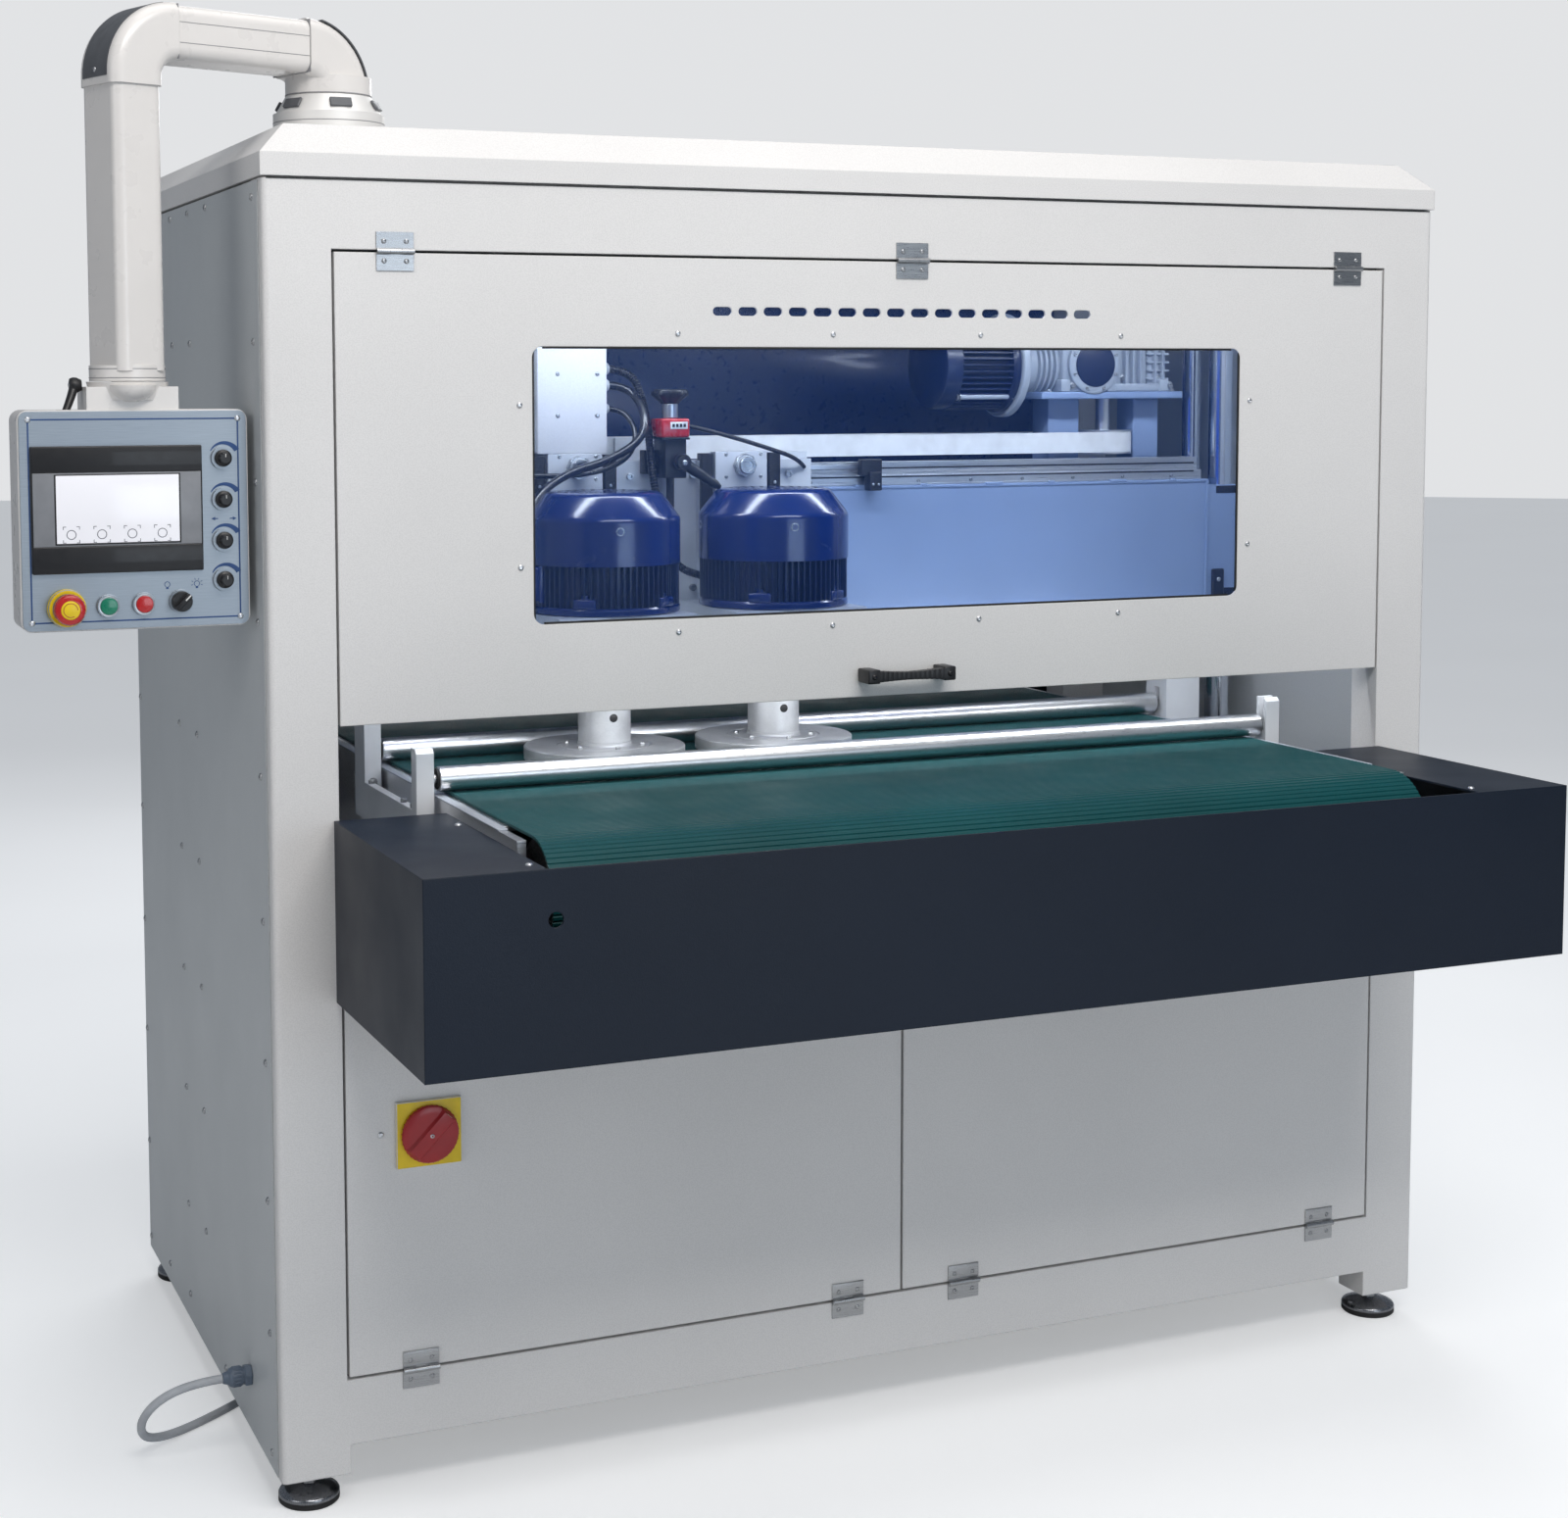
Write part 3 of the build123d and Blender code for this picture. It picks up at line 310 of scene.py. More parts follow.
def belt_rubber(name, color):
    """Fabric-backed conveyor belting: fine weave, dusty sheen."""
    n = Nodes(name)
    n.set(Sheen_Weight=0.05, Sheen_Roughness=0.4, Specular_IOR_Level=0.22)
    weave = n.noise(420, 2, 0.6, n.stretched((1, 2.6, 1)))
    dust = n.ramp(n.noise(3.2, 5, 0.6), tuple(c * 0.72 for c in color), color, 0.3, 0.7)
    thread = n.ramp(weave, (0.78, 0.8, 0.8), (1, 1, 1), 0.3, 0.65)
    gloss = n.range(n.noise(14, 4), 0.40, 0.56)
    return n.use(n.blend(dust, thread), gloss, n.bump(weave, 0.5, 0.0005))


def tinted_pane(name):
    """Clear polycarbonate with a blue tint: lets light through and reflects a little."""
    n = Nodes(name)
    n.set(Roughness=0.04, Specular_IOR_Level=0.6)
    haze = n.ramp(n.noise(3, 3), (0.10, 0.28, 0.85), (0.16, 0.34, 0.9))
    smear = n.range(n.noise(7, 4, 0.6, n.stretched((1, 1, 4))), 0.03, 0.12)
    through = n.add("ShaderNodeBsdfTransparent")
    through.inputs["Color"].default_value = (0.90, 0.945, 1.0, 1)
    fresnel = n.add("ShaderNodeFresnel", IOR=1.35)
    share = n.add("ShaderNodeMath", operation="ADD")
    share.inputs[1].default_value = 0.012
    n.link(fresnel.outputs["Fac"], share.inputs[0])
    mix = n.add("ShaderNodeMixShader")
    n.link(share.outputs["Value"], mix.inputs["Fac"])
    n.link(through.outputs["BSDF"], mix.inputs[1])
    n.link(n.shader.outputs["BSDF"], mix.inputs[2])
    n.link(mix.outputs["Shader"], n.tree.nodes["Material Output"].inputs["Surface"])
    return n.use(haze, smear)


def lit_screen(name, color, strength):
    """A glowing display under glass, a little brighter in the middle."""
    n = Nodes(name)
    n.set(Roughness=0.15, Emission_Strength=strength)
    glow = n.ramp(n.noise(6, 2), tuple(c * 0.9 for c in color), color)
    n.link(glow, n.shader.inputs["Emission Color"])
    return n.use(glow)


WHITE = (0.76, 0.75, 0.74)
MAT = {
    "frame": powder_coat("powder_warm_white", WHITE, 0.46),
    # side panels: a darker, cooler copy of the white powder coat, painted shade on the sides that face away
    # from the light
    "side": powder_coat("powder_grey_painted_shade", (0.54, 0.565, 0.575), 0.4),
    "cover": powder_coat("powder_anthracite", (0.005, 0.011, 0.024), 0.42, 520, 0.00035, 0.0025, 0.12, 0.3),
    "stainless": brushed("stainless", (0.50, 0.51, 0.52), (1, 14, 60), 0.28),
    "steel": brushed("ground_steel", (0.56, 0.57, 0.58), (2, 30, 30), 0.28),
    "chrome": polished("hard_chrome", (0.70, 0.71, 0.73), 0.27),
    "column": polished("chrome_column", (0.80, 0.84, 0.92), 0.08, (40, 40, 2)),
    "aluminium": brushed("extruded_aluminium", (0.78, 0.79, 0.81), (1, 50, 50), 0.32),
    "casting": enamel("cast_aluminium", (0.42, 0.46, 0.52), 0.4, 0.1),
    "bracket": enamel("bracket_grey", (0.70, 0.72, 0.75), 0.36, 0.15, 0.002),
    "belt": belt_rubber("green_belt", (0.0015, 0.078, 0.086)),
    "timing": moulded("white_polyurethane", (0.86, 0.86, 0.86), 0.5, 300),
    "black": moulded("black_plastic", (0.012, 0.012, 0.014), 0.38),
    "rubber": moulded("black_rubber", (0.010, 0.010, 0.011), 0.55, 400),
    "hose": moulded("hose_black", (0.010, 0.011, 0.016), 0.3, 500, 0.3),
    "motor": enamel("motor_blue", (0.002, 0.020, 0.135), 0.2, 0.55),
    # darker copy of the motor blue: painted shade on the fins under the cowl, also used for other dark navy
    # parts
    "motor_dark": enamel("motor_fins_painted_shade", (0.003, 0.012, 0.055), 0.35, 0.2),
    "beam": enamel("beam_grey", (0.27, 0.36, 0.56), 0.34, 0.2, 0.003, 0.95),
    # dark blue sheet on the rear wall: painted shade in place of the blue shade there
    "liner": moulded("blue_shade_liner", (0.008, 0.028, 0.12), 0.3, 60, 0.2, 0.002),
    "arm": enamel("arm_coating", (0.76, 0.735, 0.71), 0.3, 0.25, 0.0012, 0.96),
    "accent": moulded("grey_accent", (0.10, 0.105, 0.115), 0.4),
    "plate": brushed("printed_plate", (0.42, 0.47, 0.52), (1, 60, 60), 0.42, 0.08),
    "ink": moulded("blue_ink", (0.02, 0.07, 0.22), 0.5),
    "screen_frame": moulded("screen_frame", (0.006, 0.006, 0.008), 0.42, 900, 0.15),
    "screen_side": moulded("screen_side", (0.24, 0.25, 0.27), 0.35),
    "display": lit_screen("display", (0.74, 0.74, 0.78), 0.36),
    "display_mark": moulded("display_mark", (0.12, 0.13, 0.16), 0.4),
    "red": moulded("red_plastic", (0.50, 0.010, 0.012), 0.26, 900, 0.5),
    "dark_red": moulded("dark_red_plastic", (0.40, 0.008, 0.014), 0.38, 500, 0.2),
    "yellow": moulded("yellow_plastic", (0.86, 0.62, 0.01), 0.38),
    "green": moulded("green_plastic", (0.0, 0.22, 0.12), 0.28, 900, 0.5),
    "white": moulded("white_plastic", (0.82, 0.82, 0.80), 0.4),
    "cable": moulded("grey_cable", (0.52, 0.54, 0.57), 0.45, 300),
    "gland": moulded("gland_grey", (0.13, 0.17, 0.23), 0.35),
    "window": tinted_pane("window_pane"),
    "dark_steel": brushed("dark_steel", (0.30, 0.31, 0.33), (30, 30, 1), 0.22),
    "abrasive": moulded("abrasive_pad", (0.16, 0.055, 0.03), 0.8, 900, 0, 0.0004),
    "white_sheet": powder_coat("white_sheet", (0.86, 0.85, 0.86), 0.4),
    "seam": moulded("seam_shadow", (0.30, 0.30, 0.31), 0.6),
}


# ---- mesh helpers, in machine millimetres -----------------------------------------------------
def spoke(degrees, first=X, second=Y):
    """The unit vector at an angle from the first direction towards the second."""
    angle = math.radians(degrees)
    return first * math.cos(angle) + second * math.sin(angle)


def spin(degrees, axis):
    """A rotation about a named axis."""
    return Matrix.Rotation(math.radians(degrees), 3, axis)


def spread(middle, half):
    """The limits of something centred on a middle value."""
    return middle - half, middle + half


def add_loft(bm, rings, caps=True):
    """Skins equal rings of vertices, one after the other, and closes both ends."""
    for low, high in zip(rings, rings[1:]):
        for index in range(len(low)):
            after = (index + 1) % len(low)
            bm.faces.new((low[index], low[after], high[after], high[index]))
    if caps:
        bm.faces.new(list(reversed(rings[0])))
        bm.faces.new(rings[-1])


def add_box(bm, x, y, z, bevel=0.0, turn=None, pivot=None):
    """A box between limits, with rounded edges, optionally turned about a pivot."""
    made = bmesh.ops.create_cube(bm, size=1.0)["verts"]
    centre = Vector(((x[0] + x[1]) / 2, (y[0] + y[1]) / 2, (z[0] + z[1]) / 2))
    size = Vector((abs(x[1] - x[0]), abs(y[1] - y[0]), abs(z[1] - z[0])))
    for vertex in made:
        vertex.co = Vector((vertex.co.x * size.x, vertex.co.y * size.y, vertex.co.z * size.z)) + centre
    if bevel:
        edges = list({edge for vertex in made for edge in vertex.link_edges})
        result = bmesh.ops.bevel(bm, geom=edges, offset=min(bevel, min(size) * 0.45), segments=3,
                                 profile=0.5, affect="EDGES")
        made = list({v for face in result["faces"] for v in face.verts} | {v for v in made if v.is_valid})
    if turn is not None:
        point = Vector(pivot) if pivot else centre
        bmesh.ops.rotate(bm, verts=made, cent=point, matrix=turn)
    return made


def add_lathe(bm, profile, origin, axis=Z, segments=48):
    """A solid of revolution: profile holds (radius, height) pairs from one end to the other."""
    axis = axis.normalized()
    side = axis.orthogonal().normalized()
    other = axis.cross(side)
    rings = []
    for radius, height in profile:
        centre = Vector(origin) + axis * height
        if radius < 1e-6:
            rings.append([bm.verts.new(centre)])
            continue
        rings.append([bm.verts.new(centre + spoke(360 * step / segments, side, other) * radius)
                      for step in range(segments)])
    for low, high in zip(rings, rings[1:]):
        for step in range(segments):
            after = (step + 1) % segments
            corners = [low[step % len(low)], low[after % len(low)], high[after % len(high)],
                       high[step % len(high)]]
            unique = list(dict.fromkeys(corners))
            if len(unique) > 2:
                bm.faces.new(unique)
    for ring, backwards in ((rings[0], True), (rings[-1], False)):
        if len(ring) > 1:
            bm.faces.new(list(reversed(ring)) if backwards else ring)


def round_profile(radius, height, bevel):
    """The profile of a cylinder with rounded rims, for add_lathe."""
    steps = 3
    low = [(radius - bevel + bevel * math.sin(a), bevel - bevel * math.cos(a))
           for a in [math.pi / 2 * s / steps for s in range(steps + 1)]]
    high = [(r, height - h) for r, h in reversed(low)]
    return [(0, 0), *low, *high, (0, height)]


def add_rod(bm, origin, axis, radius, length, bevel=0.5, segments=32):
    add_lathe(bm, round_profile(radius, length, bevel), origin, axis, segments)


def add_prism(bm, outline, along, length):
    """A flat outline, given as points, pulled along a vector's direction."""
    face = bm.faces.new([bm.verts.new(Vector(point)) for point in outline])
    pulled = bmesh.ops.extrude_face_region(bm, geom=[face])["geom"]
    moved = [item for item in pulled if isinstance(item, bmesh.types.BMVert)]
    bmesh.ops.translate(bm, verts=moved, vec=along.normalized() * length)


def add_screw(bm, origin, axis, radius=5.0):
    """A domed screw head with a hexagon socket."""
    height = radius * 0.55
    dome = [(radius, 0), (radius, height * 0.25), (radius * 0.86, height * 0.68),
            (radius * 0.62, height * 0.93),
            (radius * 0.5, height)]
    socket = [(radius * 0.45, height), (radius * 0.42, height * 0.35), (0, height * 0.3)]
    add_lathe(bm, dome + socket, origin, axis, 18)


def add_bolt(bm, origin, axis, radius=8.0):
    """A hexagon head on a washer."""
    add_lathe(bm, [(0, 0), (radius * 1.3, 0), (radius * 1.3, radius * 0.2), (0, radius * 0.2)], origin,
              axis, 24)
    start = Vector(origin) + axis.normalized() * radius * 0.2
    add_lathe(bm, [(radius, 0), (radius, radius * 0.6), (radius * 0.86, radius * 0.75), (0, radius * 0.75)],
              start, axis, 6)


def add_socket_bolt(bm, origin, axis, radius=6.0):
    """A cylinder head with a hexagon socket."""
    add_lathe(bm, [(radius, 0), (radius, radius * 1.1), (radius * 0.92, radius * 1.25),
                   (radius * 0.55, radius * 1.25),
                   (radius * 0.5, radius * 0.6), (0, radius * 0.55)], origin, axis, 20)


def piece(name, bm, material, body, stands_for=(), smooth=34):
    """Turns a bmesh in machine millimetres into a finished piece that rides on a body."""
    bmesh.ops.remove_doubles(bm, verts=bm.verts, dist=0.001)
    bmesh.ops.recalc_face_normals(bm, faces=bm.faces)
    for vertex in bm.verts:
        vertex.co = place(*vertex.co)
    limit = math.radians(smooth)
    for edge in bm.edges:
        edge.smooth = len(edge.link_faces) == 2 and edge.calc_face_angle(0) < limit
    for face in bm.faces:
        face.smooth = True
    mesh = bpy.data.meshes.new(name)
    bm.to_mesh(mesh)
    bm.free()
    holder = bpy.data.objects.new(name, mesh)
    bpy.context.scene.collection.objects.link(holder)
    mesh.materials.append(MAT[material])
    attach(holder, body)
    if stands_for:
        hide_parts(*stands_for)
    return holder


def fasteners(name, spots, axis, size, body, material="steel", add=add_screw):
    """One piece made of equal screws or bolts at the spots listed."""
    bm = bmesh.new()
    for spot in spots:
        add(bm, spot, axis, size)
    piece(name, bm, material, body)


def curve_piece(name, points, radius, material, body, resolution=12):
    """A smooth cable whose control points are machine millimetres."""
    curve = bpy.data.curves.new(name, "CURVE")
    curve.dimensions = "3D"
    spline = curve.splines.new("NURBS")
    spline.points.add(len(points) - 1)
    for target, point in zip(spline.points, points):
        target.co = (*place(*point), 1.0)
    spline.order_u = 3
    spline.use_endpoint_u = True
    curve.resolution_u = resolution
    curve.bevel_depth = radius * MM
    curve.bevel_resolution = 5
    curve.use_fill_caps = True
    holder = bpy.data.objects.new(name, curve)
    bpy.context.scene.collection.objects.link(holder)
    curve.materials.append(MAT[material])
    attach(holder, body)
    return holder


def dress(node, material):
    """Gives a carried-over CAD node its finished material."""
    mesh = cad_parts[node].data
    mesh.materials.clear()
    mesh.materials.append(MAT[material])


def dress_cad_nodes():
    """The finish of every CAD node that stays visible."""
    finishes = {
        "frame": ("front_frame", "rear_frame", "base_frame", "roof_cover", "upper_door", "lower_door_left",
                  "lower_door_right"),
        # the side panels take the darker grey: painted shade
        "side": ("side_panels",),
        "cover": ("infeed_cover", "outfeed_cover"),
        "aluminium": ("conveyor_frame", "linear_rails", "drive_pulley", "idler_pulley"),
        "steel": ("tail_drum", "drive_drum", "front_roller_axle", "rear_roller_axle"),
        "stainless": ("frame_hinge_leaves", "upper_hinge_leaves"),
        "column": ("guide_columns",),
        "beam": ("cross_beam",),
        "bracket": ("hold_down_brackets", "carriage_plate"),
        "casting": ("conveyor_gearmotor",),
        "timing": ("timing_belt",),
        "arm": ("boom_arm", "panel_enclosure"),
        "plate": ("panel_faceplate",),
        "window": ("window_pane",),
    }
    for material, nodes in finishes.items():
        for node in nodes:
            dress(node, material)


# ---- mains cable --------------------------------------------------------------------------------
MAINS_ROUTE = ((-957, 178, 128), (-997, 179, 127), (-1042, 190, 108), (-1064, 216, 70), (-1054, 254, 28),
               (-1012, 296, 7), (-940, 340, 6.3), (-860, 402, 6.3), (-812, 500, 6.3), (-798, 630, 6.3),
               (-812, 760, 6.3), (-808, 880, 6.3), (-792, 985, 6.3), (-780, 1070, 6.3))
COIL_TAIL = ((-676, 1202, 19), (-645, 1202, 21), (-620, 1202, 29), (-597, 1202, 32))
COIL_CENTRE, COIL_TURNS, COIL_STEPS = (-700, 1130), 4.25, 16
COIL_LANES, COIL_LAYERS = (72, 59.5), (6.3, 18.6)
PLUG_ENTRY = (-597, 1202, 32)


def eased(value, start, end):
    """Goes smoothly from 0 at start to 1 at end."""
    share = min(max((value - start) / (end - start), 0), 1)
    return share * share * (3 - 2 * share)


def coil_points():
    """The coil's turns: one outer, two inner (the second on top of the first), the rest outer."""
    points = []
    for step in range(int(COIL_TURNS * COIL_STEPS) + 1):
        turn = step / COIL_STEPS
        inward = eased(turn, 0.85, 1.15) - eased(turn, 2.85, 3.15)
        radius = COIL_LANES[0] + (COIL_LANES[1] - COIL_LANES[0]) * inward
        level = COIL_LAYERS[0] + (COIL_LAYERS[1] - COIL_LAYERS[0]) * eased(turn, 1.5, 1.9)
        angle = math.pi - 2 * math.pi * turn
        points.append((COIL_CENTRE[0] + radius * math.cos(angle),
                       COIL_CENTRE[1] + radius * math.sin(angle), level))
    return points


def mains_plug():
    """A round industrial plug with a ribbed body and a collar, lying on its side."""
    bm = bmesh.new()
    outline = [(0, -6), (7, -6), (8.5, 0), (10, 3), (14, 8), (22, 20), (24, 24), (26, 28), (26, 90),
               (30, 93), (32, 97), (32, 136), (31, 138), (29, 138), (28, 118), (0, 117)]
    add_lathe(bm, outline, PLUG_ENTRY, X, 40)
    for angle in range(0, 360, 30):
        out = spoke(angle, Y, Z) * 25.6
        start = Vector(PLUG_ENTRY) + out + X * 34
        add_rod(bm, start, X, 1.6, 50, 0.7, 10)
    for angle in range(0, 360, 72):
        out = spoke(angle, Y, Z) * 15
        add_rod(bm, Vector(PLUG_ENTRY) + out + X * 116, X, 3, 18, 1, 16)
    return piece("plug_body", bm, "red", "cabinet", ("mains_plug",))


def mains_gland():
    """Cable gland: hexagon nut, ribbed clamping nut and a tapered sleeve."""
    bm = bmesh.new()
    start = Vector((-SIDE_X, GLAND[1], GLAND[2]))
    add_lathe(bm, [(0, 0), (14.2, 0), (15.4, 1), (15.4, 9), (14.2, 10), (0, 10)], start, -X, 6)
    add_lathe(bm, [(0, 10), (12, 10), (12, 13), (13.4, 13.5), (13.4, 27), (12.4, 30), (9.8, 32), (0, 32)],
              start, -X, 32)
    add_lathe(bm, [(0, 30), (9.6, 30), (9.2, 33), (7.4, 39.3), (6.2, 39.9), (0, 39.9)], start, -X, 28)
    for angle in range(0, 360, 20):
        out = spoke(angle, Y, Z) * 13.3
        add_rod(bm, start + out - X * 15, -X, 1.1, 11, 0.4, 8)
    return piece("gland_nuts", bm, "gland", "cabinet", ("cable_gland",))


def mains_cable():
    """The lead from the gland to its coil behind the machine, ending in its plug."""
    plug, gland = mains_plug(), mains_gland()
    points = (*MAINS_ROUTE, *coil_points(), *COIL_TAIL)
    lead = curve_piece("mains_lead", points, CABLE_D / 2, "cable", "cabinet", 6)
    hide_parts("mains_cable", "cable_coil")


# ---- cabinet details --------------------------------------------------------------------------------
def side_screws():
    """Domed screws that hold the two side panels to the frames and uprights."""
    rows = {
        50: (1732, 1547, 1366, 1184, 981, 789, 600, 414, 234, 70),
        475: (1739, 1552, 981, 792, 604, 417, 233),
        610: (1739, 1552, 981, 792, 604, 417, 233, 90),
        347: (1739, 72),
        950: (1732, 1547, 1366, 1184, 981, 800, 610, 425, 234, 70),
        780: (1739, 80),
    }
    bm = bmesh.new()
    for y, heights in rows.items():
        for z in heights:
            add_screw(bm, (-SIDE_X, y, z), -X, 5.2)
            add_screw(bm, (SIDE_X, y, z), X, 5.2)
    piece("side_panel_screws", bm, "stainless", "cabinet")


def rear_screws():
    """Domed screws round the two sheet panels that close the rear frame."""
    spots = []
    for low, high in ((1072, 1648), (214, 664)):
        spots += [(-792 + index * 198, REAR_SHEET_Y, z) for z in (low, high) for index in range(9)]
        spots += [(side * 792, REAR_SHEET_Y, low + (high - low) * share)
                  for side in (-1, 1) for share in (0.25, 0.5, 0.75)]
    fasteners("rear_panel_screws", spots, Y, 5.2, "cabinet", "stainless")


def window_screws():
    """Twelve domed screws round the window, which clamp the pane behind the door sheet."""
    cx, cz, reach_x, reach_z = 4, 1356, 578, 203.5
    spots = [(cx + dx, 0, cz + side * reach_z) for dx in (-351, -117, 117, 351) for side in (-1, 1)]
    spots += [(cx + side * reach_x, 0, cz + dz) for dz in (-108, 108) for side in (-1, 1)]
    fasteners("window_screws", spots, -Y, 4.2, "upper_door", "chrome")


def window_gasket():
    """Rubber edge in the window opening, seen as a dark line round the pane."""
    bm = bmesh.new()
    for x in ((-556, -553), (561, 564)):
        add_box(bm, x, (0.6, 2.8), (1172, 1540), 0.6)
    for z in ((1170.5, 1173.5), (1538.5, 1541.5)):
        add_box(bm, (-541, 549), (0.6, 2.8), z, 0.6)
    piece("window_gasket", bm, "rubber", "upper_door")


def hinge_screws():
    """Two small screws in each leaf of every hinge."""
    def pairs(places, z):
        return [(x + dx, -2, z) for x in places for dx in (-15, 15)]

    lower = sum(LOWER_HINGES_X.values(), ())
    fixed = pairs(UPPER_HINGES_X, UPPER_FIXED_LEAF_Z) + pairs(lower, LOWER_FIXED_LEAF_Z)
    fasteners("frame_hinge_screws", fixed, -Y, 3.4, "cabinet", "stainless")
    doors = {"upper_door": pairs(UPPER_HINGES_X, UPPER_LEAF_Z)}
    doors.update({door: pairs(places, LOWER_LEAF_Z) for door, places in LOWER_HINGES_X.items()})
    for door, spots in doors.items():
        fasteners(f"{door}_hinge_screws", spots, -Y, 3.4, door, "stainless")


def door_handle():
    """Bridge handle: two feet with screws and a slimmer bowed grip."""
    bm = bmesh.new()
    for x in (-64, 56):
        add_box(bm, spread(x, 9.5), (-35, 0), (1070, 1090), 2.2)
        add_screw(bm, (x, -35, 1080), -Y, 4)
    steps = 14
    for index in range(steps):
        left = -57 + 106 * index / steps
        right = -57 + 106 * (index + 1) / steps
        dip = 3.2 * math.sin(math.pi * (index + 0.5) / steps)
        add_box(bm, (left - 0.6, right + 0.6), (-35 + dip * 0.6, -20), (1072 + dip * 0.5, 1088 - dip), 0.9)
    piece("bridge_handle", bm, "black", "upper_door", ("door_handle",))


def levelling_feet():
    """Machine mounts: rubber pad under a chromed bell, with a threaded stud and two nuts."""
    bell, pad, stud = bmesh.new(), bmesh.new(), bmesh.new()
    for x in (-869, 869):
        for y in (46, 940):
            add_lathe(pad, [(0, 0), (39, 0), (41, 2), (41, 8), (39, 9), (0, 9)], (x, y, 0), Z, 48)
            add_lathe(bell, [(0, 8), (40.5, 8), (41, 9), (41, 12), (39.5, 14.5), (30, 19), (18, 22),
                             (15, 23.5), (0, 24)], (x, y, 0), Z, 48)
            add_lathe(stud, [(0, 22), (6, 22), (6, 60), (0, 60)], (x, y, 0), Z, 24)
            add_lathe(stud, [(0, 24), (11, 24), (12, 25), (12, 32), (11, 33), (0, 33)], (x, y, 0), Z, 6)
            add_lathe(stud, [(0, 36), (11, 36), (12, 37), (12, 43.5), (11, 44.5), (0, 44.5)], (x, y, 0),
                      Z, 6)
            for thread in range(8):
                z = 24.5 + thread * 2.6
                add_lathe(stud, [(6, z), (6.5, z + 0.7), (6, z + 1.4)], (x, y, 0), Z, 20)
    piece("feet_bells", bell, "dark_steel", "cabinet", ("levelling_feet",))
    piece("feet_pads", pad, "rubber", "cabinet")
    piece("feet_studs", stud, "stainless", "cabinet")


def cover_screws():
    """Two domed screws at each end of the infeed and the outfeed cover."""
    spots = [(side * 693, y, 925) for side in (-1, 1) for y in (-92, -376, CAB_D + 92, CAB_D + 376)]
    fasteners("cover_screws", spots, Z, 4.6, "cabinet", "chrome")


def roof_lap_seal():
    """Thin dark seal under the roof's folded lap, across the cabinet's front."""
    bm = bmesh.new()
    add_box(bm, (-CAB_W / 2 + 6, CAB_W / 2 - 6), (-1.2, 0.4), (1752.6, 1754.4), 0.3)
    piece("roof_lap_seal", bm, "rubber", "cabinet")


def main_switch():
    """Yellow escutcheon with a red cam-switch knob and its pointer marker."""
    centre = Vector((-711, 0, 497))
    bm = bmesh.new()
    add_box(bm, spread(centre.x, 45), (-6.3, -0.2), spread(centre.z, 45), 2.0)
    piece("switch_escutcheon", bm, "yellow", "lower_door_left")
    bm = bmesh.new()
    add_lathe(bm, [(0, 6.5), (36, 6.5), (38.2, 8), (39, 10), (39, 12.5), (37.5, 15), (33, 16.5), (27, 17),
                   (0, 17)], centre, -Y, 64)
    turn = spin(-45, "Y")
    for step in range(5):
        high, wide = 15 + step * 1.35, 12.5 - step * 0.9
        add_box(bm, (centre.x - 36.6 + step * 0.5, centre.x + 36.6 - step * 0.5), (-high - 1.1, -14),
                (centre.z - wide, centre.z + wide), 0.8, turn, (centre.x, 0, centre.z))
    for angle in range(0, 360, 10):
        out = turn @ (spoke(angle, X, Z) * 38.6)
        add_rod(bm, centre + out - Y * 8, -Y, 0.9, 5, 0.3, 8)
    piece("switch_knob", bm, "dark_red", "switch_handle", ("switch_handle",))
    bm = bmesh.new()
    add_box(bm, (centre.x + 24.5, centre.x + 34.5), (-21.4, -20.9), spread(centre.z, 4.5), 0.3, turn,
            (centre.x, 0, centre.z))
    piece("switch_marker", bm, "white", "switch_handle")
    fasteners("switch_screw", [centre - Y * 20.6], -Y, 3.2, "switch_handle", "chrome")
    fasteners("door_latch_screw", [(-776, 0, 500)], -Y, 4.6, "lower_door_left", "chrome")


# ---- conveyor -------------------------------------------------------------------------------------
def loop_points(radius, spacing, profile):
    """Points round both drums, with a repeating (share of pitch, depth) profile cut into them."""
    straight = DRUM_Y[1] - DRUM_Y[0]
    length = 2 * straight + 2 * math.pi * radius
    count = round(length / spacing)
    points = []
    for index in range(count):
        for share, depth in profile:
            along, reach = (index + share) * length / count, radius - depth
            if along < straight:
                points.append((DRUM_Y[0] + along, DRUM_Z + reach))
            elif along < straight + math.pi * radius:
                angle = math.pi / 2 - (along - straight) / radius
                points.append((DRUM_Y[1] + reach * math.cos(angle), DRUM_Z + reach * math.sin(angle)))
            elif along < 2 * straight + math.pi * radius:
                points.append((DRUM_Y[1] - (along - straight - math.pi * radius), DRUM_Z - reach))
            else:
                angle = -math.pi / 2 - (along - 2 * straight - math.pi * radius) / radius
                points.append((DRUM_Y[0] + reach * math.cos(angle), DRUM_Z + reach * math.sin(angle)))
    return points


def conveyor_belt():
    """Endless belt with fine cross ribs on its carrying side."""
    profile = ((0.02, 0), (0.52, 0), (0.66, 1.1), (0.88, 1.1))
    outer = loop_points(DRUM_R, BELT_PITCH, profile)
    inner = loop_points(DRUM_R, BELT_PITCH, [(share, BELT_T) for share, depth in profile])
    bm = bmesh.new()
    rings = [[bm.verts.new((x, y, z)) for y, z in points]
             for points, x in ((outer, -BELT_X), (outer, BELT_X), (inner, BELT_X), (inner, -BELT_X))]
    add_loft(bm, rings + rings[:1], caps=False)
    piece("ribbed_belt", bm, "belt", "cabinet", ("conveyor_belt",), 25)


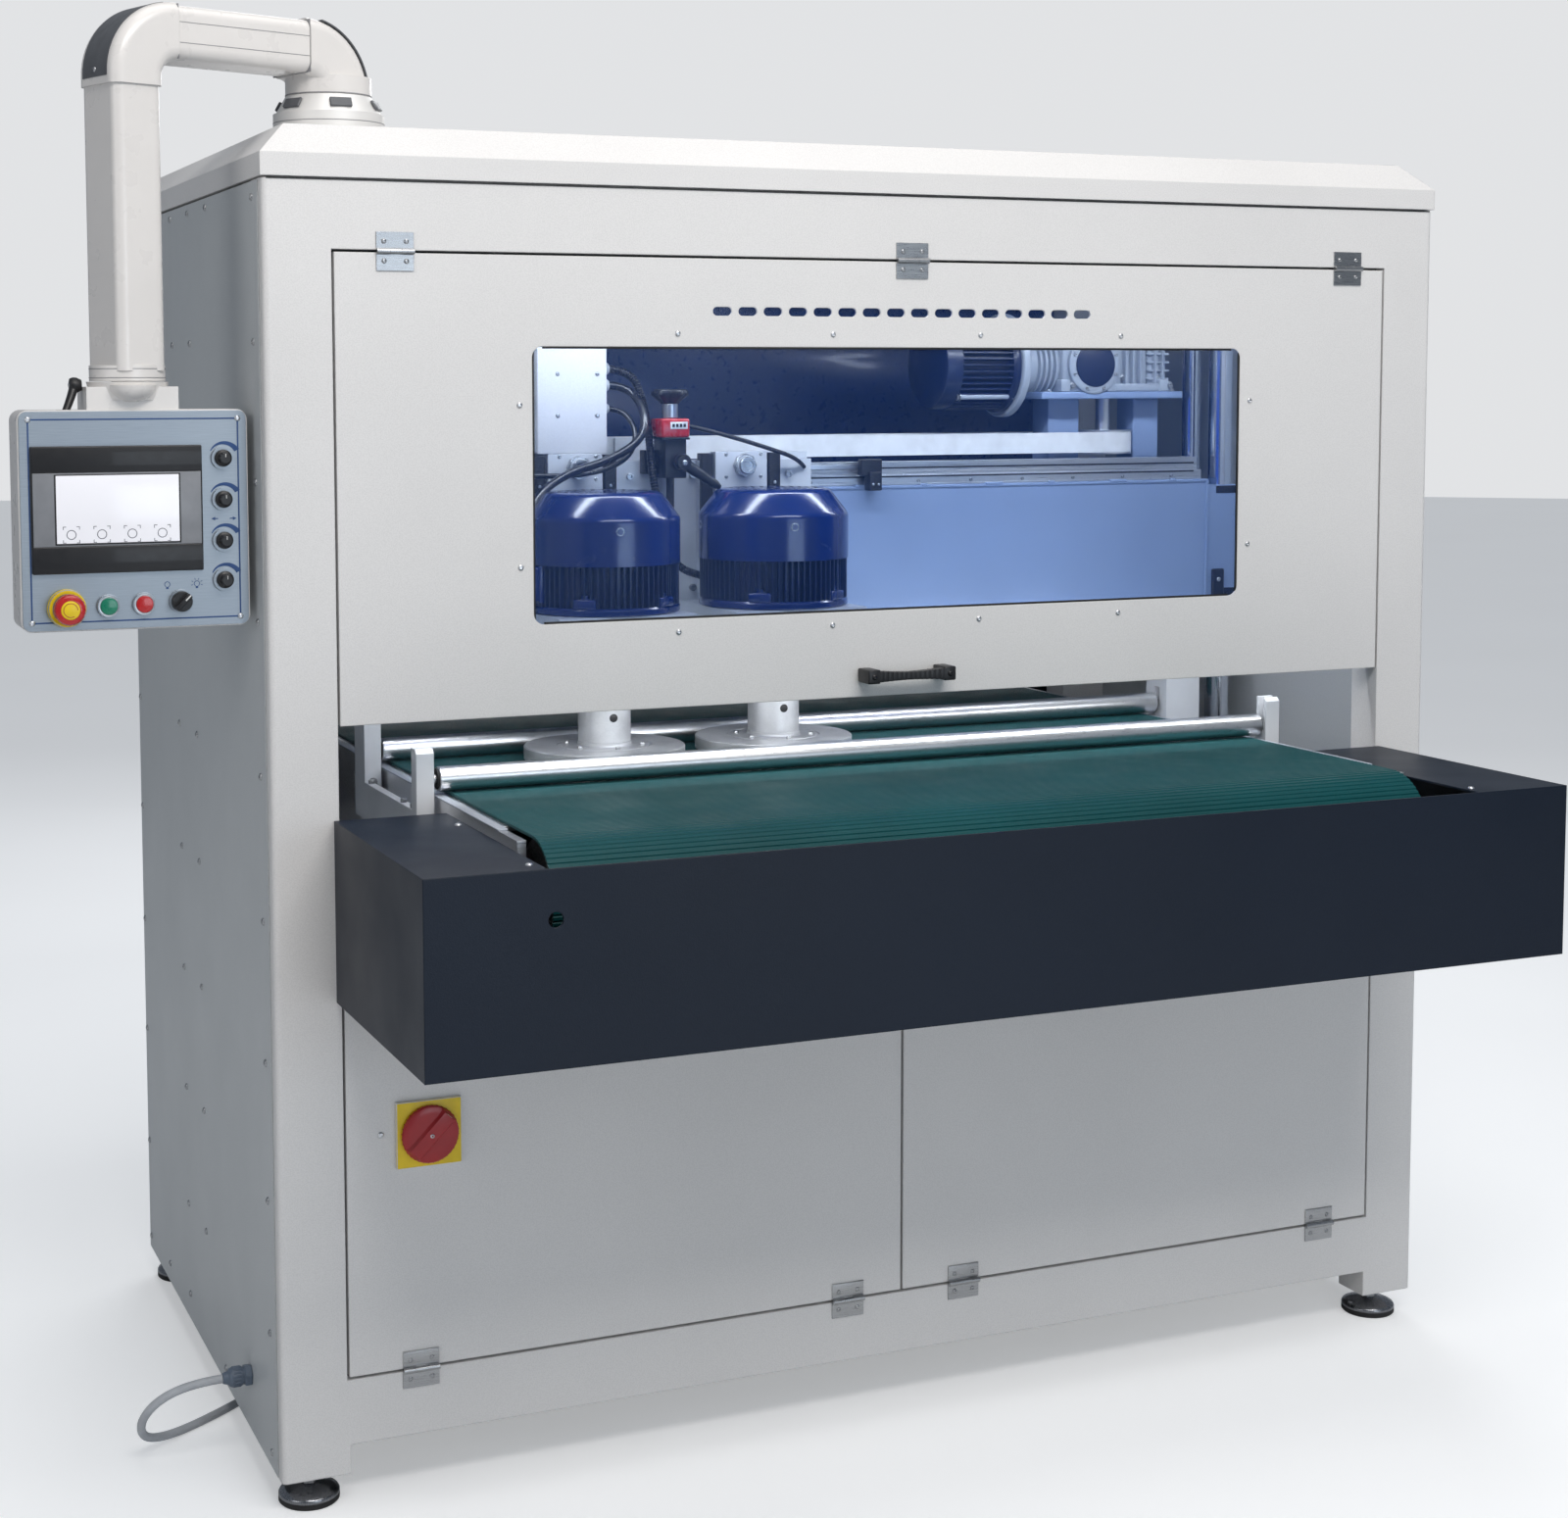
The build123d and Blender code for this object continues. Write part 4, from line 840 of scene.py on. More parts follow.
def hold_down_roller(name, y, axle_body):
    """Ground steel roller with stepped, dark bushed ends."""
    bm = bmesh.new()
    half, r = ROLLER_X, ROLLER_R
    add_lathe(bm, [(8, -half + 2), (r - 1.2, -half + 2), (r, -half + 3.2), (r, half - 3.2),
                   (r - 1.2, half - 2), (8, half - 2), (8, half - 8), (6.2, half - 8),
                   (6.2, -half + 8), (8, -half + 8), (8, -half + 2)],
              (0, y, ROLLER_Z), X, 48)
    piece(f"{name}_shell", bm, "chrome", name, (name,))
    bm = bmesh.new()
    for side in (-1, 1):
        add_lathe(bm, [(6.15, 0), (13, 0), (14, 1), (14, 2.4), (13.6, 2.6), (6.15, 2.6)],
                  (side * (half - 2.4), y, ROLLER_Z), X * side, 32)
    piece(f"{name}_seals", bm, "rubber", name)
    bm = bmesh.new()
    for side in (-1, 1):
        add_lathe(bm, [(6.05, 0), (9.5, 0), (10, 0.5), (10, 4.5), (9.5, 5), (6.05, 5)],
                  (side * 681, y, ROLLER_Z), X * side, 24)
    piece(f"{name}_collars", bm, "steel", axle_body)


def spindle(name, x):
    """Sanding head: backing disc with a turned rim, and the sleeve that clamps it to the motor shaft."""
    low, high = DISC_Z
    bm = bmesh.new()
    add_lathe(bm, [(0, low), (DISC_R - 2, low), (DISC_R, low + 1.2), (DISC_R, low + 4),
                   (DISC_R - 0.8, low + 4.6), (DISC_R - 0.8, low + 5.6), (DISC_R, low + 6.2),
                   (DISC_R, high - 1.6), (DISC_R - 1.6, high), (70, high), (69, high - 1.0),
                   (66, high - 1.0), (65, high), (45, high), (41, high + 0.2), (39.5, high + 3),
                   (39.5, high + 5.5), (SLEEVE_R, high + 6.5), (SLEEVE_R, 1138),
                   (SLEEVE_R - 2, 1140), (14, 1140), (14, 1220), (0, 1220)], (x, SPINDLE_Y, 0), Z, 96)
    material = f"disc_{name}"
    MAT[material] = turned(material, (0.68, 0.69, 0.70), place(x, SPINDLE_Y, 0), 0.36)
    piece(f"{name}_turning", bm, material, name, (name,), 28)
    # black ring and disc on the sleeve: painted shade in the set screw's bore
    bm = bmesh.new()
    add_lathe(bm, [(6.2, 0.5), (6.2, -0.2), (5.2, -0.35), (5.2, 0.5)],
              (x, SPINDLE_Y - SLEEVE_R + 0.1, 1010), Y, 28)
    add_rod(bm, (x, SPINDLE_Y - SLEEVE_R + 0.2, 1010), -Y, 5.3, 0.35, 0.1, 24)
    piece(f"{name}_set_screw_bore_shade", bm, "black", name)
    bm = bmesh.new()
    add_lathe(bm, [(0, 0), (DISC_R - 3, 0), (DISC_R - 2, 0.8), (DISC_R - 2, 3.9), (0, 3.9)],
              (x, SPINDLE_Y, low - 4), Z, 80)
    piece(f"{name}_abrasive", bm, "abrasive", name)
    spots = [Vector((x, SPINDLE_Y, high - 1.5)) + spoke(angle) * 56 for angle in range(30, 390, 60)]
    fasteners(f"{name}_disc_bolts", spots, Z, 4.0, name, add=add_socket_bolt)


def conveyor_details():
    """Bolts on the conveyor's side plates and brackets, and the strips beside the belt."""
    bm = bmesh.new()
    for side in (-1, 1):
        for y in (-150, 0, 150, 480, 620, 770, 930, 1080):
            add_bolt(bm, (side * 670, y, 900), X * side, 5.5)
        for y in DRUM_Y:
            for dy, dz in ((-28, -28), (28, -28), (-28, 28), (28, 28)):
                add_bolt(bm, (side * 670, y + dy, DRUM_Z + dz), X * side, 4.5)
    piece("conveyor_bolts", bm, "stainless", "cabinet")
    bm = bmesh.new()
    for side in (-1, 1):
        add_box(bm, sorted((side * 657.5, side * 671)), (-190, 1175), (932, 934.5), 0.6)
    piece("belt_edge_strips", bm, "casting", "cabinet")
    bm = bmesh.new()
    for side in (-1, 1):
        for y in (112, 160, 330):
            add_socket_bolt(bm, (side * 694, y, 915), Z, 4.5)
        for z in (878, 902):
            add_bolt(bm, (side * 700, 87, z), X * side, 5)
    for z in (915, 1010):
        add_bolt(bm, (-687.5, 345, z), -Y, 5)
        add_bolt(bm, (722, 350, z), -Y, 5)
    piece("bracket_bolts", bm, "stainless", "cabinet")


# ---- beam, rails and carriage ------------------------------------------------------------------------
def cabinet_interior():
    """A dark blue sheet on the rear wall, painted shade in place of the wall's blue shade, with its fixing
    strip and its slack folds.
    """
    bm = bmesh.new()
    columns, rows = 132, 34
    grid = []
    for row in range(rows + 1):
        z = 1062 + 598 * row / rows
        line = []
        for column in range(columns + 1):
            x = -818 + 1636 * column / columns
            height = 3.2 * (0.6 + 0.4 * math.sin(x / 97 + z / 160))
            fold = height * math.sin(z / 23 + 1.4 * math.sin(x / 210) + x / 330)
            slack = 4.5 * math.sin(x / 260 + 0.6) * math.sin(math.pi * row / rows)
            line.append(bm.verts.new((x, 958 + fold + slack, z)))
        grid.append(line)
    for lower, upper in zip(grid, grid[1:]):
        for index in range(columns):
            bm.faces.new((lower[index], lower[index + 1], upper[index + 1], upper[index]))
    back = bmesh.ops.extrude_face_region(bm, geom=bm.faces[:])["geom"]
    bmesh.ops.translate(bm, verts=[v for v in back if isinstance(v, bmesh.types.BMVert)], vec=Y * 1.2)
    piece("rear_shade_liner", bm, "liner", "cabinet")
    bm = bmesh.new()
    add_box(bm, (-818, 818), (944, 950), (1636, 1662), 0.8)
    piece("liner_strip", bm, "motor_dark", "cabinet")
    bm = bmesh.new()
    # black boxes for the strip's slots: painted shade in the holes
    for index in range(36):
        x = -800 + index * 45.7
        add_box(bm, (x, x + 20), (942.6, 944.4), (1642, 1649), 0.5)
    piece("liner_strip_slot_shade", bm, "black", "cabinet")


def beam_details():
    """Weld beads, edge strips, rail screws, black strips as painted shade in the grooves, ridges, and the
    slides' bolts.
    """
    bm = bmesh.new()
    for index in range(13):
        x = -700 + index * 118
        length = 34 if index % 2 else 14
        for bead in range(int(length / 4)):
            add_lathe(bm, [(0, -3.4), (2.4, -2), (3.2, 0), (2.4, 2), (0, 3.4)],
                      (x + bead * 4, 405.6, 1328.5), X, 10)
    for index in range(46):
        z = 1112 + index * 4.6
        if index % 9 < 6:
            add_lathe(bm, [(0, -3.4), (2.2, -2), (3.0, 0), (2.2, 2), (0, 3.4)], (787, 405.4, z), Z, 10)
    piece("beam_weld_beads", bm, "beam", "beam", (), 60)
    bm = bmesh.new()
    add_box(bm, (-788, 789.5), (403.6, 405.2), (1323.5, 1328.6), 0.6)
    add_box(bm, (784.5, 790), (402.6, 406), (1106, 1327), 0.8)
    piece("beam_edge_strips", bm, "beam", "beam")
    spots = [(-720 + index * 96, 411.9, 1335.5) for index in range(16)]
    fasteners("rail_screws", spots, -Y, 2.6, "beam", add=add_socket_bolt)
    # black strips in the grooves: painted shade
    bm = bmesh.new()
    for z in (1342.5, 1356.5):
        add_box(bm, (-760, 765), (411.4, 412.4), spread(z, 1.3), 0.3)
    for z in (1112.5, 1119.5):
        add_box(bm, (-765, 765), (392.5, 393.4), spread(z, 0.9), 0.3)
    piece("rail_groove_shade", bm, "black", "beam")
    bm = bmesh.new()
    add_box(bm, (-760, 765), (410.9, 412.3), (1329.2, 1331.8), 0.4)
    add_box(bm, (-760, 765), (410.9, 412.3), (1348.2, 1351.4), 0.4)
    piece("rail_ridges", bm, "chrome", "beam")
    spots = [(side * x, 412, z) for side in (-1, 1) for z in (1145, 1170, 1278, 1303) for x in (806, 848)]
    fasteners("slide_bolts", spots, -Y, 4.6, "beam", add=add_socket_bolt)


def timing_belt_teeth():
    """Tooth ridges on the inner side of the timing belt."""
    bm = bmesh.new()
    for index in range(118):
        x = -585 + index * 10
        add_box(bm, (x, x + 5), (457.4, 459.6), (1376, 1408), 0.5)
    piece("timing_teeth", bm, "timing", "beam")


def carriage_details():
    """Bearing nuts, slide covers, screws and the end sensor of the traversing carriage."""
    nuts, dark, screws = bmesh.new(), bmesh.new(), bmesh.new()
    for x in SPINDLES_X:
        add_lathe(nuts, [(15.2, 0), (17.5, 0), (18.5, 1), (18.5, 9), (17.5, 10), (14.5, 10), (14, 9),
                         (15.2, 8)], (x + 4, 352, 1367), -Y, 8)
        add_lathe(nuts, [(0, 8), (13, 8), (13.5, 9), (13.5, 17), (12.5, 18), (8.5, 18), (8.3, 16),
                         (0, 15.5)], (x + 4, 352, 1367), -Y, 32)
        for dx, dz in ((-27, -17), (31, -17), (-27, 17), (31, 17)):
            add_screw(screws, (x + 2 + dx, 352, 1367 + dz), -Y, 3.0)
        for side in (-1, 1):
            edge = x + side * 56.5
            add_box(dark, spread(edge, 9.5), (351.2, 371), (1160, 1386), 1.2)
            for z in (1180, 1260, 1340):
                add_screw(screws, (edge, 351.2, z), -Y, 2.6)
        add_box(dark, (x + 62, x + 74), (352, 366), (1148, 1154), 0.8)
    piece("bearing_nuts", nuts, "steel", "carriage")
    piece("slide_covers", dark, "black", "carriage")
    spots = [(x, 372, z) for x in (-275, -172, -10) for z in (1352, 1180)]
    fasteners("plate_bolts", spots, -Y, 5.4, "carriage", add=add_socket_bolt)
    piece("carriage_screws", screws, "steel", "carriage")
    bm = bmesh.new()
    add_box(bm, (126, 163), (388, 402), (1346, 1372), 2.0)
    add_box(bm, (138, 160), (382, 402), (1322, 1352), 2.0)
    piece("end_sensor", bm, "black", "carriage")
    fasteners("end_sensor_screws", [(144, 382, 1332), (154, 382, 1332)], -Y, 2.2, "carriage")
    bm = bmesh.new()
    add_box(bm, (24, 130), (402, 405.5), (1356, 1364), 0.6)
    add_box(bm, (24, 30), (387, 405), (1356, 1364), 0.6)
    piece("end_sensor_arm", bm, "aluminium", "carriage")


def head_motor(name, x):
    """Flange motor with a pressed cowl, cooling fins and clamping lugs."""
    flange, fin_low, cowl, crown = 1163, 1175, 1236, 1337
    bm = bmesh.new()
    add_lathe(bm, [(99, fin_low - 1), (99, cowl + 2), (0, cowl + 2), (0, fin_low - 1)], (x, SPINDLE_Y, 0),
              Z, 64)
    for index in range(72):
        reach = 110 if index % 18 not in (8, 9, 10) else 103
        mid = Vector((x, SPINDLE_Y, (fin_low + cowl) / 2)) + spoke(index * 5) * (98 + reach) / 2
        add_box(bm, spread(mid.x, (reach - 98) / 2), spread(mid.y, 1.3), (fin_low, cowl + 1), 0.4,
                spin(index * 5, "Z"), mid)
    # the fins take the darker motor blue: painted shade under the cowl
    piece(f"{name}_fins", bm, "motor_dark", "carriage")
    bm = bmesh.new()
    add_lathe(bm, [(0, flange), (109, flange), (111.5, flange + 2), (111.5, fin_low - 3), (109, fin_low),
                   (103, fin_low), (0, fin_low)], (x, SPINDLE_Y, 0), Z, 72)
    for angle in (-125, -55, 55, 125):
        centre = Vector((x, SPINDLE_Y, 0)) + spoke(angle) * 103
        add_box(bm, (centre.x - 24, centre.x + 8.4), spread(centre.y, 17), (fin_low - 1, fin_low + 13), 3,
                spin(angle, "Z"), centre)
        add_bolt(bm, (*centre.xy, fin_low + 13), Z, 6)
    piece(f"{name}_flange", bm, "motor", "carriage")
    bm = bmesh.new()
    add_lathe(bm, [(108, cowl - 3), (112, cowl - 2), (112, 1296), (111.2, 1300), (108.5, 1304),
                   (88, 1331), (84, 1334.5), (78, 1336.6), (60, crown), (0, crown),
                   (0, crown - 3), (70, crown - 3), (108, 1296)],
              (x, SPINDLE_Y, 0), Z, 96)
    piece(f"{name}_cowl", bm, "motor", "carriage", (), 40)
    bm = bmesh.new()
    for index in range(4):
        out = spoke(-98 + index * 90)
        add_lathe(bm, [(0, 0), (6.6, 0), (6.9, 0.7), (5.8, 1.2), (4.4, 1.3), (4.1, 0.6), (0, 0.6)],
                  Vector((x, SPINDLE_Y, 1284)) + out * 110.9, out, 24)
    piece(f"{name}_cowl_screws", bm, "steel", "carriage")
    # black discs on the cowl's crown: painted shade in the grille's holes
    bm = bmesh.new()
    for ring in range(5):
        radius = 20 + ring * 11
        for index in range(6 + ring * 5):
            out = spoke(360 * index / (6 + ring * 5))
            add_rod(bm, Vector((x, SPINDLE_Y, crown - 0.6)) + out * radius, Z, 3.0, 0.75, 0.2, 10)
    piece(f"{name}_grille_hole_shade", bm, "black", "carriage")


def head_motors():
    """Both sanding motors, and the terminal box on the outer one."""
    head_motor("left_motor", SPINDLES_X[0])
    head_motor("right_motor", SPINDLES_X[1])
    bm = bmesh.new()
    add_box(bm, (-501, -476), (205, 265), (1182, 1232), 4)
    add_box(bm, (-478, -466), (203, 267), (1180, 1234), 2)
    piece("terminal_box", bm, "motor", "carriage", ("head_motors",))


def junction_box():
    """White terminal box above the carriage, with a screwed lid and cable glands."""
    bm = bmesh.new()
    add_box(bm, (-428, -318), (355, 438), (1388, 1547), 4)
    add_box(bm, (-428, -318), (352, 354.6), (1388, 1547), 1.2)
    piece("junction_box_shell", bm, "white_sheet", "carriage", ("junction_box",))
    spots = [(x, 352, z) for x in (-396, -333) for z in (1445, 1507)]
    fasteners("junction_box_screws", spots, -Y, 3.4, "carriage")
    bm = bmesh.new()
    for z, r in ((1515, 10.5), (1490, 10.5), (1455, 8.5)):
        add_lathe(bm, [(0, 0), (r, 0), (r, 4), (r * 0.9, 4.4), (r * 0.9, 9), (r * 0.7, 12), (0, 12)],
                  (-318, 378, z), X, 12)
    piece("junction_box_glands", bm, "cable", "carriage")


def position_indicator():
    """Black guide block, screw stem and a red digital counter with its window."""
    bm = bmesh.new()
    add_box(bm, (-235, -200), (325, 372), (1350, 1408), 1.5)
    add_box(bm, (-258, -233), (352, 372), (1356, 1392), 1.5)
    add_rod(bm, (-220, 342, 1170), Z, 6, 182, 0.5, 24)
    piece("indicator_block", bm, "black", "carriage", ("position_indicator",))
    bm = bmesh.new()
    add_box(bm, (-243, -197), (318, 366), (1411, 1440), 3.5)
    piece("counter_body", bm, "red", "carriage")
    bm = bmesh.new()
    add_box(bm, (-243, -197), (318.5, 366), (1408, 1411.5), 0.8)
    for index in range(4):
        add_box(bm, (-226 + index * 6, -222 + index * 6), (316.9, 318), (1427, 1432), 0.3)
    piece("counter_base", bm, "black", "carriage")
    bm = bmesh.new()
    add_box(bm, (-229, -201), (317.3, 318.6), (1424, 1435), 0.5)
    piece("counter_window", bm, "white", "carriage")


def star_knob():
    """Five-lobed clamping knob on a bright spacer."""
    x, y = STAR_AXIS
    spacer_z, grip_z, segments = 1440.4, 1462, 80
    bm = bmesh.new()
    rings = []
    for height, share in ((0, 0.50), (3, 0.56), (8, 0.80), (13, 1.0), (18, 1.0), (21, 0.93), (22, 0.75)):
        ring = []
        for index in range(segments):
            angle = 2 * math.pi * index / segments
            reach = (24.5 + 5.2 * math.cos(5 * angle)) * share
            ring.append(bm.verts.new((x + reach * math.cos(angle), y + reach * math.sin(angle),
                                      grip_z + height)))
        rings.append(ring)
    add_loft(bm, rings)
    piece("star_grip", bm, "black", "star_knob", ("star_knob",), 45)
    bm = bmesh.new()
    add_lathe(bm, [(5.1, spacer_z), (11, spacer_z), (12, spacer_z + 1), (12, grip_z - 1), (11, grip_z),
                   (5.1, grip_z)], (x, y, 0), Z, 32)
    piece("star_spacer", bm, "aluminium", "star_knob")


def tapered_lever(name, pivot, axis, along, hub, reach, body):
    """Adjustable clamping lever: a domed hub, a bright screw and an arm that tapers to its end."""
    pivot, axis, along = Vector(pivot), Vector(axis).normalized(), Vector(along).normalized()
    across = axis.cross(along)
    bm = bmesh.new()
    add_lathe(bm, [(hub * 0.7, 0), (hub * 0.8, hub * 0.2), (hub, hub * 0.6), (hub, hub * 1.1),
                   (hub * 0.85, hub * 1.45), (hub * 0.45, hub * 1.55), (0, hub * 1.5)], pivot, axis, 36)
    steps, sides = 8, 16
    rings = []
    for step in range(steps + 1):
        share = step / steps
        tip = 0.6 if step == steps else 1
        centre = pivot + along * reach * share + axis * hub * (0.85 + 0.35 * share * share)
        tall, wide = hub * (0.62 - 0.12 * share) * tip, hub * (0.72 - 0.22 * share) * tip
        rings.append([bm.verts.new(centre + spoke(360 * index / sides, across * wide, axis * tall))
                      for index in range(sides)])
    add_loft(bm, rings)
    piece(f"{name}_arm", bm, "black", body, (body,), 50)
    fasteners(f"{name}_screw", [pivot + axis * hub * 1.45], axis, hub * 0.34, body)


HOSES = (
    ((-306, 378, 1515), (-270, 377, 1512), (-252, 374, 1470), (-250, 352, 1415), (-250, 340, 1350),
     (-236, 334, 1290), (-230, 330, 1240), (-205, 322, 1205), (-166, 302, 1200)),
    ((-306, 378, 1490), (-276, 372, 1488), (-262, 340, 1455), (-272, 318, 1410), (-330, 312, 1378),
     (-400, 300, 1362), (-460, 270, 1330), (-486, 240, 1285), (-486, 236, 1232)),
    ((-306, 378, 1455), (-284, 372, 1452), (-272, 350, 1425), (-282, 335, 1390), (-320, 330, 1365),
     (-380, 330, 1356), (-450, 340, 1356), (-500, 372, 1362)),
    ((-197, 350, 1430), (-165, 350, 1424), (-105, 350, 1408), (-50, 352, 1392), (0, 356, 1376),
     (18, 372, 1362)),
)


def sampled_curve(name, points):
    """The points, in machine millimetres, of the smooth curve that a cable would follow."""
    guide = curve_piece(name, points, 0, "hose", "carriage", 20)
    guide.data.use_fill_caps = False
    path = bpy.data.meshes.new_from_object(guide)
    line = [(vertex.co - ORIGIN) / MM for vertex in path.vertices]
    bpy.data.objects.remove(guide)
    bpy.data.meshes.remove(path)
    return line


def ribbed_hose(name, points, radius, pitch):
    """A corrugated hose whose ridges follow a cable's curve."""
    line = sampled_curve(f"{name}_line", points)
    run = [0.0]
    for one, two in zip(line, line[1:]):
        run.append(run[-1] + (two - one).length)
    ridge = (1.0, 1.0, 0.86, 0.86)
    count, sides = int(run[-1] / pitch) * len(ridge), 16
    bm = bmesh.new()
    rings, segment = [], 0
    side = (line[1] - line[0]).orthogonal().normalized()
    for index in range(count + 1):
        along = run[-1] * index / count
        while segment < len(line) - 2 and run[segment + 1] < along:
            segment += 1
        ahead = line[segment + 1] - line[segment]
        centre = line[segment] + ahead * (along - run[segment]) / ahead.length
        ahead.normalize()
        side = (side - ahead * side.dot(ahead)).normalized()
        reach = radius * ridge[index % len(ridge)]
        rings.append([bm.verts.new(centre + spoke(360 * step / sides, side, ahead.cross(side)) * reach)
                      for step in range(sides)])
    add_loft(bm, rings)
    piece(name, bm, "hose", "carriage", ("head_cables",), 20)


def head_cables():
    """The carriage's own hose and leads, clipped at both ends."""
    ribbed_hose("corrugated_hose", HOSES[0], 6.5, 4.4)
    for number, radius in ((1, 6.3), (2, 4.0), (3, 3.4)):
        curve_piece(f"head_lead_{number}", HOSES[number], radius, "hose", "carriage")


def traverse_gearbox():
    """Worm gearbox on its stand, with cast ribs, a round cap and its bolts."""
    bm = bmesh.new()
    for x in ((525, 585), (692, 742)):
        add_box(bm, x, (486, 538), (1329, 1465), 2)
    add_box(bm, (485, 760), (440, 560), (1465, 1477), 2)
    piece("gearbox_stand", bm, "beam", "beam", ("traverse_gearmotor",))
    bm = bmesh.new()
    add_box(bm, (528, 642), (446, 554), (1480, 1583), 6)
    add_box(bm, (524, 740), (444, 556), (1477, 1490), 3)
    for x in (532, 620, 724):
        add_box(bm, spread(x, 9), (441, 470), (1477, 1497), 2)
    add_box(bm, (640, 700), (458, 542), (1486, 1578), 5)
    for x in (654, 668, 682, 712, 726):
        add_box(bm, spread(x, 2), (448, 552), (1480, 1584), 1.2)
    for z in range(1498, 1569, 14):
        add_box(bm, (698, 740), (452, 548), spread(z, 1.8), 1.0)
    add_box(bm, (700, 738), (458, 542), (1484, 1580), 4)
    add_rod(bm, (466, *MOTOR_AXIS[1:]), X, 46, 64, 3, 40)
    for x in (486, 496, 506, 516):
        add_lathe(bm, [(44, 0), (53, 0.6), (53, 3.4), (44, 4)], (x, *MOTOR_AXIS[1:]), X, 44)
    add_lathe(bm, [(40, 0), (47, 0), (49, 2), (49, 8), (47, 9.5), (40, 10)], (585, 446, GEARBOX_Z), -Y, 56)
    piece("gearbox_casting", bm, "casting", "beam")
    bm = bmesh.new()
    add_lathe(bm, [(0, 0), (36, 0), (37, 1), (37, 3.2), (35.5, 4), (0, 4.4)], (585, 437.2, GEARBOX_Z), -Y,
              56)
    piece("gearbox_cap", bm, "motor_dark", "beam")
    bm = bmesh.new()
    for index in range(8):
        add_socket_bolt(bm, Vector((585, 436.4, GEARBOX_Z)) + spoke(22.5 + index * 45, X, Z) * 42.5, -Y, 2.8)
    for x, z in ((652, 1562), (720, 1562), (652, 1500), (720, 1500)):
        add_bolt(bm, (x, 457, z), -Y, 5)
    for x in (545, 608, 735):
        add_bolt(bm, (x, 443, 1487), -Y, 5)
    for x in (505, 650, 745):
        for y in (452, 548):
            add_bolt(bm, (x, y, 1477), Z, 5)
    piece("gearbox_bolts", bm, "steel", "beam")


def traverse_motor():
    """Finned motor along the beam, with the flange and the tie rods that hold it to the gearbox."""
    bm = bmesh.new()
    add_lathe(bm, [(0, 300), (62, 300), (70, 304), (72, 312), (72, 332), (0, 332)], MOTOR_AXIS, X, 56)
    add_lathe(bm, [(0, 424), (74, 424), (78, 428), (78, 436), (0, 436)], MOTOR_AXIS, X, 56)
    add_lathe(bm, [(0, 330), (60, 330), (60, 426), (0, 426)], MOTOR_AXIS, X, 48)
    fins = 44
    for index in range(fins):
        angle = 360 * index / fins
        mid = Vector((378, *MOTOR_AXIS[1:])) + spoke(angle, Y, Z) * 66
        add_box(bm, (331, 425), spread(mid.y, 7.5), spread(mid.z, 1.3), 0.4, spin(angle, "X"), mid)
    piece("traverse_motor", bm, "motor_dark", "beam")
    flange, bolts = bmesh.new(), bmesh.new()
    add_lathe(flange, [(0, 436), (84, 436), (86, 438), (86, 448), (84, 450), (60, 452), (50, 466), (0, 466)],
              MOTOR_AXIS, X, 60)
    for angle in (45, 135, 225, 315):
        out = spoke(angle, Y, Z)
        add_rod(flange, Vector((330, *MOTOR_AXIS[1:])) + out * 72, X, 5, 96, 1.5, 16)
        for x in (436, 334):
            add_bolt(bolts, Vector((x, *MOTOR_AXIS[1:])) + out * 73, -X, 5.5)
    piece("motor_flange", flange, "casting", "beam")
    piece("motor_flange_bolts", bolts, "steel", "beam")


def column_details():
    """Clamps and wipers of the columns, and the small black end-stop plate at the right one."""
    bm = bmesh.new()
    for side in (-1, 1):
        for y, r in ((433, 20), (520, 16)):
            for z, way in ((760, Z), (1693, -Z)):
                add_lathe(bm, [(r + 0.6, 0), (r + 13, 0), (r + 14, 1), (r + 14, 12), (r + 12, 14),
                               (r + 0.6, 14)], (side * 832, y, z), way, 40)
    piece("column_flanges", bm, "casting", "cabinet")
    bm = bmesh.new()
    for side in (-1, 1):
        for z in (1130, 1304):
            add_box(bm, sorted((side * 806, side * 858)), (404, 409.5), (z, z + 13), 1.5)
    piece("slide_wipers", bm, "rubber", "beam")
    bm = bmesh.new()
    add_box(bm, (797, 821), (398, 404), (1112, 1176), 3)
    piece("stop_plate", bm, "black", "beam")
    fasteners("stop_plate_screws", [(809, 398, 1128), (809, 398, 1158)], -Y, 4, "beam")


# ---- boom and operator panel ----------------------------------------------------------------------------
def elbow_strip(name, corner, away, side, half_width, end, lift):
    """A curved strip on an elbow's outside, from just below level up to an end angle in degrees."""
    start, steps, thickness = -2, 22, 2.0
    radius = BEND_R + BOOM_HALF_H + SHELL + lift
    bm = bmesh.new()
    rings = []
    for step in range(steps + 1):
        out = spoke(start + (end - start) * step / steps, away, Z)
        rings.append([bm.verts.new(corner + side * half_width * across + out * (radius - depth))
                      for across, depth in ((-1, thickness), (-1, 0), (1, 0), (1, thickness))])
    add_loft(bm, rings)
    piece(name, bm, "accent", "boom")


